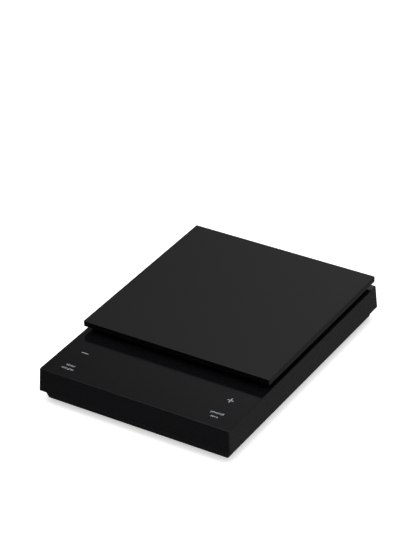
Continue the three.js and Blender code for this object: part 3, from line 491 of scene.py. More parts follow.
def screw_zinc():
    # Cold-headed steel with bright zinc plating.
    return brushed("zinc_plated_steel", 0.15 * MM, 3, ("#b9bcc0", "#cdd0d2"), (0.22, 0.36), 0.003 * MM,
                   Metallic=1)


def screw_black():
    # Steel with a black oxide finish: a dark, slightly oily gloss.
    return grained("black_oxide_steel", 0.2 * MM, 2 * MM, ("#222224", "#343437"), (0.3, 0.42),
                   0.004 * MM, Metallic=0.8)


def cell_aluminium():
    # Extruded aluminium bar, milled along its length and clear anodised.
    return brushed("milled_aluminium", 0.25 * MM, 12, ("#b4b7ba", "#c9ccce"), (0.28, 0.42), 0.004 * MM,
                   Metallic=1)


def gauge_silicone():
    # White one-part silicone, spread by hand over the gauges: soft lumps.
    return grained("white_silicone", 1.2 * MM, 4 * MM, ("#dcdad4", "#eceae5"), (0.4, 0.55), 0.08 * MM,
                   IOR=1.41)


def board_mask():
    # Green solder mask over etched copper tracks, which show as raised lighter lines.
    material, tree, shader, place = start("green_solder_mask", IOR=1.5)
    tracks = add(tree, "ShaderNodeTexBrick", {
        "Vector": place, "Scale": 1, "Brick Width": 6 * MM, "Row Height": 1.6 * MM,
        "Mortar Size": 0.25 * MM,
    })
    finish(tree, shader, tracks.outputs["Fac"], ("#0d4a2b", "#1d6b41"), (0.3, 0.38), 0.03 * MM)
    return material


def chip_resin():
    # Black moulding resin, filled with silica: a dull fine speckle.
    return grained("moulding_resin", 0.15 * MM, 2 * MM, ("#161718", "#232425"), (0.5, 0.62), 0.004 * MM,
                   IOR=1.55)


def display_housing():
    # Dark grey polycarbonate frame of the display.
    return grained("grey_polycarbonate", 0.4 * MM, 6 * MM, ("#2b2d2f", "#343638"), (0.35, 0.45),
                   0.004 * MM, IOR=1.58)


def diffuser_film():
    # Milky polycarbonate sheet with a matt face.
    return grained("diffuser_polycarbonate", 0.3 * MM, 5 * MM, ("#d3d4d0", "#dddeda"), (0.5, 0.6),
                   0.003 * MM, IOR=1.58)


def socket_nylon():
    # Unpigmented nylon: cream, with faint flow marks.
    return grained("natural_nylon", 0.5 * MM, 3 * MM, ("#ddd5c0", "#e8e2d0"), (0.4, 0.5), 0.006 * MM,
                   IOR=1.53)


def spring_nickel():
    # Spring steel with nickel plating: bright, with faint drawing lines.
    return brushed("nickel_plated_steel", 0.1 * MM, 5, ("#bdbab2", "#d2cfc8"), (0.16, 0.3), 0.002 * MM,
                   Metallic=1)


def battery_sleeve():
    # Printed plastic sleeve, shrunk on the can: glossy blue ink with a fine metallic fleck.
    return grained("blue_battery_sleeve", 0.2 * MM, 9 * MM, ("#22507f", "#2c6196"), (0.2, 0.3),
                   0.002 * MM, IOR=1.5, Metallic=0.2)


def battery_can():
    # Drawn steel can with nickel plating.
    return brushed("nickel_plated_can", 0.2 * MM, 2, ("#bcbcb9", "#cfcfcc"), (0.22, 0.32), 0.002 * MM,
                   Metallic=1)


def cable_pvc(name, dark, light):
    # Extruded PVC insulation: smooth, with a dull skin and slight dye variation.
    return grained(name, 0.3 * MM, 5 * MM, (dark, light), (0.42, 0.55), 0.004 * MM, IOR=1.53)


def legend_ink():
    # Pad-printed silver-grey ink: thin, matt, with a slightly uneven coat.
    return grained("silver_grey_ink", 0.15 * MM, 1.5 * MM, ("#9ca3ab", "#acb3bb"), (0.55, 0.7),
                   0.001 * MM, IOR=1.5)


def white_paper():
    # Translucent background paper, lit a little from below: white and dull, with a faint tooth.
    return grained("background_paper", 2 * MM, 80 * MM, ("#f3f3f2", "#f7f7f6"), (0.9, 0.95), 0.02 * MM,
                   **{"IOR": 1.3, "Emission Strength": FLOOR_GLOW})


# ---- Shapes


def added(bm, before):
    return [vert for vert in bm.verts if vert not in before]


def faces_of(verts):
    return list(dict.fromkeys(face for vert in verts for face in vert.link_faces))


def edges_of(verts):
    return list(dict.fromkeys(edge for vert in verts for edge in vert.link_edges))


def steady(bm):
    """Puts edges and faces in an order that is the same in each run, unlike the one spin gives."""
    bm.verts.index_update()
    for parts in (bm.edges, bm.faces):
        ranked = sorted(parts, key=lambda part: sorted(vert.index for vert in part.verts))
        places = {part: place for place, part in enumerate(ranked)}
        parts.sort(key=places.get)


def round_edges(bm, edges, radius, segments):
    bmesh.ops.bevel(bm, geom=edges, offset=radius, offset_type="OFFSET", segments=segments,
                    profile=0.5, affect="EDGES", material=-1)


def round_rims(bm, verts, radius):
    sharp = [edge for edge in edges_of(verts) if edge.calc_face_angle() > SHARP_ANGLE]
    round_edges(bm, sharp, radius, RIM_STEPS)


def block(bm, low, high, upright=0.0, rim=0.0):
    """A block between two corners. Its upright edges and then its rims may be rounded."""
    before = set(bm.verts)
    made = bmesh.ops.create_cube(bm, size=1)["verts"]
    low, high = Vector(low), Vector(high)
    bmesh.ops.scale(bm, vec=high - low, verts=made)
    bmesh.ops.translate(bm, vec=(low + high) / 2, verts=made)
    if upright:
        heights = {edge: edge.verts[0].co.z - edge.verts[1].co.z for edge in edges_of(made)}
        corners = [edge for edge, height in heights.items() if abs(height) > FINE_EDGE]
        round_edges(bm, corners, upright, CORNER_STEPS)
    if rim:
        round_rims(bm, added(bm, before), rim)
    return added(bm, before)


def tapered_block(bm, levels, radius):
    """An upright block on the axis whose half width and half length change from level to level."""
    bottom, top = levels[0], levels[-1]
    made = block(bm, (-bottom[1], -bottom[2], bottom[0]), (bottom[1], bottom[2], top[0]), radius)
    before = set(bm.verts) - set(made)
    for level in levels[1:-1]:
        whole = made + edges_of(made) + faces_of(made)
        bmesh.ops.bisect_plane(bm, geom=whole, plane_co=(0, 0, level[0]), plane_no=(0, 0, 1))
        steady(bm)
        made = added(bm, before)
    for vert in made:
        level = min(levels, key=lambda given: abs(given[0] - vert.co.z))
        vert.co.x += math.copysign(1, vert.co.x) * (level[1] - bottom[1])
        vert.co.y += math.copysign(1, vert.co.y) * (level[2] - bottom[2])
    return made


def post(bm, middle, radius, bottom, top, segments=ROUND_STEPS):
    made = bmesh.ops.create_cone(bm, cap_ends=True, segments=segments, radius1=radius, radius2=radius,
                                 depth=top - bottom)["verts"]
    bmesh.ops.translate(bm, vec=(middle[0], middle[1], (bottom + top) / 2), verts=made)
    return made


def posts(bm, nodes, *sizes):
    """A post at the middle of each node."""
    for node in nodes:
        post(bm, centre_of(node), *sizes)


def bar(bm, start_point, end_point, width, bottom, top):
    """A straight bar between two points on plan."""
    along = Vector(end_point[:2]) - Vector(start_point[:2])
    made = block(bm, (0, -width / 2, bottom), (along.length, width / 2, top))
    turn = Matrix.Rotation(math.atan2(along.y, along.x), 3, "Z")
    bmesh.ops.rotate(bm, cent=(0, 0, 0), matrix=turn, verts=made)
    bmesh.ops.translate(bm, vec=(start_point[0], start_point[1], 0), verts=made)
    return made


def turned(bm, profile, segments=ROUND_STEPS):
    """A solid of revolution about Z, from (radius, height) points."""
    before = set(bm.verts)
    verts = [bm.verts.new((radius, 0, height)) for radius, height in profile]
    edges = [bm.edges.new(pair) for pair in zip(verts, verts[1:])]
    bmesh.ops.spin(bm, geom=verts + edges, cent=(0, 0, 0), axis=(0, 0, 1), angle=2 * math.pi,
                   steps=segments, use_merge=True)
    steady(bm)
    bmesh.ops.remove_doubles(bm, verts=added(bm, before), dist=FINE_EDGE / 1000)
    made = added(bm, before)
    bmesh.ops.recalc_face_normals(bm, faces=faces_of(made))
    return made


def quarter(radius, height, edge, first_angle):
    """Points on a quarter circle of radius edge about (radius, height)."""
    steps = range(QUARTER_STEPS + 1)
    angles = [math.radians(first_angle + 90 * step / QUARTER_STEPS) for step in steps]
    return [(radius + edge * math.cos(angle), height + edge * math.sin(angle)) for angle in angles]


def disc_profile(radius, bottom, top, edge):
    """Half the section of a disc with rounded rims."""
    lower = quarter(radius - edge, bottom + edge, edge, -90)
    upper = quarter(radius - edge, top - edge, edge, 0)
    return [(0, bottom), *lower, *upper, (0, top)]


def piece(name, bm, material=None):
    """An object made from a bmesh, which is freed."""
    steady(bm)
    mesh = bpy.data.meshes.new(name)
    bm.to_mesh(mesh)
    bm.free()
    made = bpy.data.objects.new(name, mesh)
    bpy.context.scene.collection.objects.link(made)
    if material:
        mesh.materials.append(material)
    return made


def apply_modifiers(target):
    """The piece's mesh becomes what its modifiers make of it."""
    bpy.context.view_layer.update()
    evaluated = target.evaluated_get(bpy.context.evaluated_depsgraph_get())
    mesh = bpy.data.meshes.new_from_object(evaluated)
    old = target.data
    target.modifiers.clear()
    target.data = mesh
    bpy.data.meshes.remove(old)
    mesh.name = target.name


def combine(target, operation, shapes):
    """Joins each shape to a piece, or cuts it away. A shape is a function that fills a bmesh."""
    for shape in shapes:
        bm = bmesh.new()
        shape(bm)
        tool = piece("tool", bm)
        boolean = target.modifiers.new("boolean", "BOOLEAN")
        boolean.operation = operation
        boolean.solver = "EXACT"
        boolean.object = tool
        apply_modifiers(target)
        tool_mesh = tool.data
        bpy.data.objects.remove(tool)
        bpy.data.meshes.remove(tool_mesh)


def join(target, *shapes):
    combine(target, "UNION", shapes)


def cut(target, *shapes):
    combine(target, "DIFFERENCE", shapes)


def shade(target):
    """Smooth shading, except across sharp edges, that leaves the broad faces flat."""
    target.data.shade_smooth()
    target.data.set_sharp_from_angle(angle=SHADE_ANGLE)
    weighted = target.modifiers.new("weighted", "WEIGHTED_NORMAL")
    weighted.keep_sharp = True
    apply_modifiers(target)


def soften(target, width, segments=3):
    """Cleans the mesh, rounds the edges that are still sharp, and shades it smooth."""
    bm = bmesh.new()
    bm.from_mesh(target.data)
    bmesh.ops.remove_doubles(bm, verts=bm.verts, dist=FINE_EDGE / 100)
    bmesh.ops.dissolve_limit(bm, angle_limit=FLAT_ANGLE, verts=bm.verts, edges=bm.edges)
    bm.to_mesh(target.data)
    bm.free()
    bevel = target.modifiers.new("bevel", "BEVEL")
    bevel.width = width
    bevel.segments = segments
    bevel.limit_method = "ANGLE"
    bevel.angle_limit = SHARP_ANGLE
    apply_modifiers(target)
    shade(target)


def stand_for(target, body, slot, *nodes):
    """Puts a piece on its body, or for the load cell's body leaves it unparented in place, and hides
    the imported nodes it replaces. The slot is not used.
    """
    if body == BENDING:
        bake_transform(target)
    else:
        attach(target, body)
    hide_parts(*nodes)


def merged_copy(node, material):
    bm = bmesh.new()
    bm.from_mesh(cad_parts[node].data)
    bmesh.ops.remove_doubles(bm, verts=bm.verts, dist=FINE_EDGE / 1000)
    return piece(f"{node}_finished", bm, material)


def finer_copy(node, body, slot, material, edge):
    """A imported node's shape with its edges rounded."""
    made = merged_copy(node, material)
    soften(made, edge, 2)
    stand_for(made, body, slot, node)


def rounded_copy(node, slot, material):
    """A packed wire's shape with its coarse section smoothed round."""
    made = merged_copy(node, material)
    smooth = made.modifiers.new("smooth", "SUBSURF")
    smooth.levels = 2
    smooth.render_levels = 2
    apply_modifiers(made)
    shade(made)
    stand_for(made, "housing", slot, node)


def from_curve(bm, curve, matrix, merged):
    """Adds to a bmesh what a curve or a text makes, in its place. The curve is removed."""
    holder = bpy.data.objects.new("holder", curve)
    bpy.context.scene.collection.objects.link(holder)
    bpy.context.view_layer.update()
    depsgraph = bpy.context.evaluated_depsgraph_get()
    mesh = bpy.data.meshes.new_from_object(holder.evaluated_get(depsgraph))
    if matrix:
        mesh.transform(matrix(mesh))
    bm.from_mesh(mesh)
    bmesh.ops.remove_doubles(bm, verts=bm.verts, dist=merged)
    bpy.data.objects.remove(holder)
    bpy.data.curves.remove(curve)
    bpy.data.meshes.remove(mesh)


# ---- Weighing plate, pads and carrier


def add_plate():
    """The plate: its mould was textured on top and polished down the sides. The sides are also coloured
    darker than the top, which is painted shade.
    """
    bm = bmesh.new()
    block(bm, plate_low, plate_high, CORNER_RADIUS, MOULDED_EDGE)
    plate = piece("weighing_plate_moulding", bm, plate_abs())
    inner = Vector((PLATE_RIM, PLATE_RIM, 0))
    below = Vector((0, 0, PAST))
    pad_radius = radius_of(PADS[0]) + CLEARANCE
    socket_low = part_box(PADS[0])[0].z
    spacing = (centre_of("plate_pad_2") - centre_of("plate_pad_1")).x / 4
    run = (centre_of("plate_pad_3") - centre_of("plate_pad_1")).y / 4
    rib_bottom, rib_top = plate_ceiling - PLATE_RIB_HEIGHT, plate_ceiling + SUNK

    def pocket(bm):
        high = Vector((plate_high.x, plate_high.y, plate_ceiling)) - inner
        block(bm, plate_low + inner - below, high, INNER_RADIUS)

    def long_ribs(bm):
        for share in (-1, 0, 1):
            x = plate_middle.x + share * spacing
            block(bm, (x - PLATE_RIB_WIDTH / 2, plate_low.y + PLATE_RIM - SUNK, rib_bottom),
                  (x + PLATE_RIB_WIDTH / 2, plate_high.y - PLATE_RIM + SUNK, rib_top))

    def cross_ribs(bm):
        for share in (-1, 0, 1):
            y = plate_middle.y + share * run
            block(bm, (plate_low.x + PLATE_RIM - SUNK, y - PLATE_RIB_WIDTH / 2, rib_bottom),
                  (plate_high.x - PLATE_RIM + SUNK, y + PLATE_RIB_WIDTH / 2, rib_top))

    def sockets(bm):
        posts(bm, PADS, pad_radius + PAD_SOCKET_WALL, socket_low, plate_ceiling + SUNK)

    def socket_bores(bm):
        posts(bm, PADS, pad_radius, socket_low - PAST, plate_ceiling)

    cut(plate, pocket)
    join(plate, long_ribs, cross_ribs, sockets)
    cut(plate, socket_bores)
    soften(plate, FINE_EDGE)
    # The sides get a polished finish like the mould's, and a colour darker than the top's, which is
    # painted shade.
    plate.data.materials.append(polished_blend("polished_plate_sides_painted_shade", "#040405", "#060607"))
    for face in plate.data.polygons:
        if abs(face.normal.z) < math.cos(SIDE_ANGLE):
            face.material_index = 1
    stand_for(plate, "plate", "plate_plastic", "weighing_plate")


def add_pads():
    material = pad_silicone()
    for pad in PADS:
        low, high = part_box(pad)
        middle = centre_of(pad)
        outer = radius_of(pad)
        hole = PEG_RADIUS + CLEARANCE
        edge = PAD_EDGE
        height = high.z - low.z
        ring = [
            *quarter(outer - edge, edge, edge, -90),
            *quarter(outer - edge, height - edge, edge, 0),
            *quarter(hole + edge, height - edge, edge, 90),
            *quarter(hole + edge, edge, edge, 180),
        ]
        bm = bmesh.new()
        turned(bm, [*ring, ring[0]])
        bmesh.ops.translate(bm, vec=(middle.x, middle.y, low.z), verts=bm.verts)
        made = piece(f"{pad}_ring", bm, material)
        shade(made)
        stand_for(made, "carrier", "silicone", pad)


def add_carrier():
    bottom = carrier_high.z - PEG_RISE - CARRIER_THICKNESS
    top = bottom + CARRIER_THICKNESS
    hub = (plate_middle.x, plate_middle.y)
    material = carrier_alloy()
    bm = bmesh.new()
    post(bm, hub, CARRIER_HUB_RADIUS, bottom, top, BROAD_STEPS)
    carrier = piece("plate_carrier_casting", bm, material)

    def leg(bm):
        block(bm, (-FOOT_HALF_WIDTH, free_end.y - FOOT_HALF_LENGTH, carrier_low.z),
              (FOOT_HALF_WIDTH, free_end.y + FOOT_HALF_LENGTH, top), LEG_CORNER)

    def neck(bm):
        block(bm, (-FOOT_HALF_WIDTH, hub[1], bottom), (FOOT_HALF_WIDTH, free_end.y, top))

    def ends(bm):
        posts(bm, PADS, CARRIER_END_RADIUS, bottom, top, BROAD_STEPS)

    def pegs(bm):
        posts(bm, PADS, PEG_RADIUS, top - SUNK, carrier_high.z)

    def shank_holes(bm):
        posts(bm, CARRIER_SCREWS, CARRIER_SCREW["shank"] + SHANK_CLEARANCE, carrier_low.z - PAST, top)

    def head_holes(bm):
        for screw in CARRIER_SCREWS:
            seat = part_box(screw)[1].z - CARRIER_SCREW["head"] - SEAT
            post(bm, centre_of(screw), radius_of(screw) + CLEARANCE, seat, top + PAST)

    def arm_to(pad):
        return lambda bm: bar(bm, hub, centre_of(pad), CARRIER_ARM_WIDTH, bottom, top)

    join(carrier, leg, neck, *[arm_to(pad) for pad in PADS], ends, pegs)
    cut(carrier, head_holes, shank_holes)
    soften(carrier, CAST_EDGE)
    stand_for(carrier, "carrier", "carrier_alloy", "plate_carrier")


# ---- Screws


def add_screw(node, screw, body, slot, material, head_up):
    """A pan-head screw with a cross recess."""
    low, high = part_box(node)
    middle = centre_of(node)
    radius = radius_of(node)
    head = screw["head"]
    length = high.z - low.z - head
    edge = head * HEAD_EDGE_SHARE
    profile = [
        (0, -head),
        *quarter(radius - edge, edge - head, edge, -90),
        (radius, 0),
        (screw["shank"], 0),
        (screw["shank"], length - SCREW_TIP),
        (screw["shank"] - SCREW_TIP, length),
        (0, length),
    ]
    bm = bmesh.new()
    turned(bm, profile, SMALL_STEPS)
    made = piece(f"{node}_turned", bm, material)

    def slot_of(x, y):
        floor = -head * RECESS_FLOOR_SHARE
        return lambda bm: block(bm, (-x, -y, -head - PAST), (x, y, floor))

    half_width = radius * RECESS_WIDTH_SHARE
    half_length = radius * RECESS_LENGTH_SHARE
    cut(made, slot_of(half_width, half_length), slot_of(half_length, half_width))
    turn = Matrix.Rotation(math.pi, 4, "X") if head_up else Matrix.Identity(4)
    seat = high.z - head if head_up else low.z + head
    made.data.transform(Matrix.Translation((middle.x, middle.y, seat)) @ turn)
    soften(made, SCREW_EDGE, 2)
    stand_for(made, body, slot, node)


def add_stop_screw():
    low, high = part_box("overload_stop_screw")
    middle = centre_of("overload_stop_screw")
    bm = bmesh.new()
    radius = radius_of("overload_stop_screw")
    turned(bm, disc_profile(radius, low.z, high.z, STOP_SCREW_EDGE), STOP_SCREW_STEPS)
    bmesh.ops.translate(bm, vec=(middle.x, middle.y, 0), verts=bm.verts)
    made = piece("overload_stop_screw_turned", bm, screw_black())

    def hex_socket(bm):
        post(bm, middle, STOP_SOCKET_RADIUS, low.z - PAST, low.z + STOP_SOCKET_DEPTH, SOCKET_SIDES)

    cut(made, hex_socket)
    soften(made, SCREW_EDGE, 2)
    stand_for(made, "housing", "black_screw_steel", "overload_stop_screw")


def add_screws():
    zinc = screw_zinc()
    black = screw_black()
    for nodes, screw, body, slot, material, head_up in (
        (CASE_SCREWS, CASE_SCREW, "housing", "black_screw_steel", black, False),
        (CELL_SCREWS, CELL_SCREW, "housing", "screw_steel", zinc, False),
        (BOARD_SCREWS, BOARD_SCREW, "housing", "screw_steel", zinc, False),
        (CARRIER_SCREWS, CARRIER_SCREW, "carrier", "screw_steel", zinc, True),
    ):
        for node in nodes:
            add_screw(node, screw, body, slot, material, head_up)


# ---- Top shell


def shell_level(z, inset=0.0):
    """The housing's outline at a height: the height, half the width and half the length."""
    lean = SHELL_DRAFT * (deck - z) / SHELL_HEIGHT - inset
    return z, housing_side + lean, housing_rear + lean


def tray_level(z, inset=0.0):
    taper = TRAY_TAPER * max(shell_low.z - z, 0) / (shell_low.z - tray_low.z)
    outline = shell_level(max(z, shell_low.z), SHELL_WALL + RIM_CLEARANCE + inset + taper)
    return z, outline[1], outline[2]


def add_shell():
    bm = bmesh.new()
    made = tapered_block(bm, [shell_level(shell_low.z), shell_level(deck)], CORNER_RADIUS)
    round_rims(bm, made, MOULDED_EDGE)
    material = polished_blend("polished_shell_blend", "#0a0a0c", "#0c0c0e")
    shell = piece("top_shell_moulding", bm, material)
    hole_width = FOOT_HALF_WIDTH + CARRIER_HOLE_CLEARANCE
    hole_length = FOOT_HALF_LENGTH + CARRIER_HOLE_CLEARANCE
    post_bottom = shell_low.z + POST_MEETING + SEAT
    board_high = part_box("main_board")[1]
    rib_rear = housing_rear - SHELL_WALL - DECK_RIB_END
    diffuser_low, diffuser_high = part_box("display_diffuser")

    def hollow(bm):
        levels = [shell_level(shell_low.z - PAST, SHELL_WALL), shell_level(deck_under, SHELL_WALL)]
        tapered_block(bm, levels, INNER_RADIUS)

    def collar(bm):
        x, y = hole_width + COLLAR_WALL, hole_length + COLLAR_WALL
        low, high = (-x, free_end.y - y, deck - SUNK), (x, free_end.y + y, shell_high.z)
        block(bm, low, high, COLLAR_CORNER)

    def carrier_hole(bm):
        block(bm, (-hole_width, free_end.y - hole_length, deck_under - PAST),
              (hole_width, free_end.y + hole_length, shell_high.z + PAST), CARRIER_HOLE_CORNER)

    def bosses(bm):
        for side in (-1, 1):
            x = side * DECK_RIB_X
            block(bm, (x - DECK_RIB_WIDTH / 2, board_high.y, deck_under - DECK_RIB_HEIGHT),
                  (x + DECK_RIB_WIDTH / 2, rib_rear, deck_under + SUNK))
        posts(bm, CASE_SCREWS, SHELL_POST_RADIUS, post_bottom, deck_under + SUNK)
        posts(bm, BOARD_SCREWS, BOARD_POST_RADIUS, board_high.z + SEAT, deck_under + SUNK)

    def pilot_holes(bm):
        for screws, kind, bottom in ((CASE_SCREWS, CASE_SCREW, post_bottom),
                                     (BOARD_SCREWS, BOARD_SCREW, board_high.z)):
            for screw in screws:
                post(bm, centre_of(screw), kind["shank"] + THREAD_CLEARANCE, bottom - PAST,
                     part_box(screw)[1].z + PAST, PILOT_STEPS)

    def diffuser_recess(bm):
        reach = Vector((CLEARANCE, CLEARANCE, 0))
        low = diffuser_low - reach - Vector((0, 0, PAST))
        block(bm, low, diffuser_high + reach + Vector((0, 0, SEAT)))

    cut(shell, hollow)
    join(shell, collar, bosses)
    cut(shell, carrier_hole, pilot_holes, diffuser_recess)
    soften(shell, FINE_EDGE)
    stand_for(shell, "housing", "shell_plastic", "top_shell")


# ---- Base tray, battery door and feet


def add_tray():
    bm = bmesh.new()
    rim_top = shell_low.z + TRAY_RIM
    levels = [tray_level(z) for z in (tray_low.z, shell_low.z, rim_top)]
    made = tapered_block(bm, levels, CORNER_RADIUS)
    round_rims(bm, made, MOULDED_EDGE)
    tray = piece("base_tray_moulding", bm, tray_abs())
    below = tray_low.z - PAST
    post_top = shell_low.z + POST_MEETING
    stop_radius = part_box("overload_stop_screw")[1].x + THREAD_CLEARANCE
    door_plate_top = door_low.z + DOOR_THICKNESS
    cell_pad_rear = cell_low.y + CELL_PAD_LENGTH

    def hollow(bm):
        inside = [tray_level(z, TRAY_WALL) for z in (tray_floor, shell_low.z, rim_top + PAST)]
        tapered_block(bm, inside, INNER_RADIUS)

    def bosses(bm):
        block(bm, (cell_low.x - CELL_PAD_MARGIN, cell_low.y, tray_floor - SUNK),
              (cell_high.x + CELL_PAD_MARGIN, cell_pad_rear, cell_low.z - SEAT))
        post(bm, free_end, STOP_POST_RADIUS, tray_floor - SUNK, tray_floor + STOP_POST_HEIGHT)
        block(bm, (bay_x - bay_side - BAY_WALL, bay_front - BAY_WALL, tray_floor - SUNK),
              (bay_x + bay_side + BAY_WALL, bay_rear + BAY_WALL, bay_top + BAY_ROOF), BAY_OUTER_CORNER)
        posts(bm, CASE_SCREWS, TRAY_POST_RADIUS, tray_floor - SUNK, post_top)

    def shank_holes(bm):
        for screws, kind, top in ((CASE_SCREWS, CASE_SCREW, post_top),
                                  (CELL_SCREWS, CELL_SCREW, cell_low.z)):
            posts(bm, screws, kind["shank"] + SHANK_CLEARANCE, below, top + PAST, SMALL_STEPS)
        post(bm, free_end, stop_radius, below, post_top, SMALL_STEPS)

    def head_holes(bm):
        for screws, kind in ((CASE_SCREWS, CASE_SCREW), (CELL_SCREWS, CELL_SCREW)):
            for screw in screws:
                radius = radius_of(screw) + CLEARANCE
                post(bm, centre_of(screw), radius, below, tray_low.z + kind["seat"])
        posts(bm, FEET, radius_of(FEET[0]) + CLEARANCE, below, tray_low.z + FOOT_RECESS, BROAD_STEPS)

    def bay(bm):
        block(bm, (bay_x - bay_side, bay_front, below), (bay_x + bay_side, bay_rear, bay_top),
              BAY_INNER_CORNER)

    def door_recess(bm):
        block(bm, (bay_x - bay_side - DOOR_LEDGE, bay_front - DOOR_LEDGE, below),
              (bay_x + bay_side + DOOR_LEDGE, bay_rear + DOOR_LEDGE, door_plate_top + SEAT),
              DOOR_RECESS_CORNER)

    def scoop(bm):
        middle = (bay_x, bay_front - DOOR_LEDGE)
        post(bm, middle, SCOOP_RADIUS, below, tray_low.z + SCOOP_DEPTH, BROAD_STEPS)

    def wall_slots(bm):
        hook_bottom = door_plate_top + HOOK_LEVEL
        for x in hook_places:
            half = HOOK_WIDTH / 2 + CLEARANCE
            block(bm, (x - half, bay_rear - SEAT, hook_bottom - SEAT),
                  (x + half, bay_rear + BAY_WALL + SEAT, hook_bottom + HOOK_THICKNESS + HOOK_ROOM))
        for battery in ("battery_1", "battery_2"):
            middle = centre_of(battery)
            half = TAG_WIDTH / 2 + CLEARANCE
            rise = TAG_THICKNESS / 2 + CLEARANCE
            block(bm, (middle.x - half, bay_front - BAY_WALL - SUNK, middle.z - rise),
                  (middle.x + half, bay_front + SUNK, middle.z + rise))

    cut(tray, hollow)
    join(tray, bosses)
    cut(tray, shank_holes, head_holes, bay, door_recess, scoop, wall_slots)
    soften(tray, FINE_EDGE)
    stand_for(tray, "housing", "tray_plastic", "base_tray")


def add_door():
    plate_top = door_low.z + DOOR_THICKNESS
    door_rear = bay_rear + DOOR_LEDGE - CLEARANCE
    riser_rear = bay_rear - CLEARANCE
    hook_bottom = plate_top + HOOK_LEVEL
    latch_front = bay_front + LATCH_SETBACK
    bm = bmesh.new()
    block(bm, door_low, (door_high.x, door_rear, plate_top), DOOR_CORNER, DOOR_EDGE)
    door = piece("battery_door_moulding", bm, door_abs())

    def latch(bm):
        block(bm, (bay_x - LATCH_WIDTH / 2, latch_front, plate_top - SUNK),
              (bay_x + LATCH_WIDTH / 2, latch_front + LATCH_THICKNESS, door_high.z))

    def risers(bm):
        for x in hook_places:
            block(bm, (x - HOOK_WIDTH / 2, riser_rear - HOOK_RISER, plate_top - SUNK),
                  (x + HOOK_WIDTH / 2, riser_rear, hook_bottom + HOOK_THICKNESS))

    def hooks(bm):
        for x in hook_places:
            block(bm, (x - HOOK_WIDTH / 2, riser_rear - HOOK_RISER, hook_bottom),
                  (x + HOOK_WIDTH / 2, door_high.y, hook_bottom + HOOK_THICKNESS))

    def grip_grooves(bm):
        for row in range(GRIP_GROOVES):
            y = door_low.y + GRIP_FIRST + row * GRIP_PITCH
            block(bm, (bay_x - GRIP_HALF_WIDTH, y - GROOVE_HALF_WIDTH, door_low.z - PAST),
                  (bay_x + GRIP_HALF_WIDTH, y + GROOVE_HALF_WIDTH, door_low.z + GROOVE_DEPTH),
                  GROOVE_CORNER)

    join(door, latch, risers, hooks)
    cut(door, grip_grooves)
    soften(door, DOOR_FINE_EDGE)
    stand_for(door, "door", "tray_plastic", "battery_door")


def add_feet():
    material = foot_rubber()
    for foot in FEET:
        low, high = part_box(foot)
        middle = centre_of(foot)
        bm = bmesh.new()
        turned(bm, disc_profile(radius_of(foot), low.z, high.z, FOOT_EDGE), BROAD_STEPS)
        bmesh.ops.translate(bm, vec=(middle.x, middle.y, 0), verts=bm.verts)
        made = piece(f"{foot}_pad", bm, material)
        shade(made)
        stand_for(made, "housing", "foot_rubber", foot)


# ---- Printed legends on the panel


def stroke(bm, x, y, size):
    """A printed bar on the deck, with its middle at x, y."""
    half_width, half_length = size[0] / 2, size[1] / 2
    block(bm, (x - half_width, y - half_length, deck - INK_HEIGHT),
          (x + half_width, y + half_length, deck + INK_HEIGHT), STROKE_CORNER)


def word(bm, text, x, y, width):
    """A word in the built-in font, centred on x and standing on y, stretched to a width."""
    font = bpy.data.curves.new("word", "FONT")
    font.body = text
    font.size = 1
    font.extrude = FONT_DEPTH

    def place(mesh):
        across = [vert.co.x for vert in mesh.vertices]
        wide, tall = width / (max(across) - min(across)), WORD_HEIGHT / LETTER_HEIGHT
        scale = Matrix.Diagonal((wide, tall, INK_HEIGHT / FONT_DEPTH, 1))
        middle = (min(across) + max(across)) / 2
        return Matrix.Translation((x, y, deck)) @ scale @ Matrix.Translation((-middle, 0, 0))

    from_curve(bm, font, place, INK_HEIGHT / 100)


def add_legends():
    material = legend_ink()
    key_x = centre_of("touch_spring_plus").x
    left_x = -key_x - LEFT_SHIFT
    sign_y = centre_of("touch_spring_plus").y + SIGN_RISE
    word_y = centre_of("touch_spring_left").y

    def minus(bm):
        stroke(bm, left_x, sign_y - MINUS_DROP, MINUS_SIZE)

    def plus(bm):
        stroke(bm, key_x, sign_y, PLUS_ACROSS)
        stroke(bm, key_x, sign_y, PLUS_ALONG)

    def left_words(bm):
        for text, along, rise, width in LEFT_WORDS:
            word(bm, text, left_x + along, word_y + rise, width)

    def right_words(bm):
        for text, along, rise, width in RIGHT_WORDS:
            word(bm, text, key_x + along, word_y + rise, width)

    for name, print_on in (("minus", minus), ("plus", plus), ("timer_unit", left_words),
                           ("power_zero", right_words)):
        bm = bmesh.new()
        print_on(bm)
        made = piece(f"legend_{name}", bm, material)
        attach(made, "housing")


# ---- Batteries and contacts


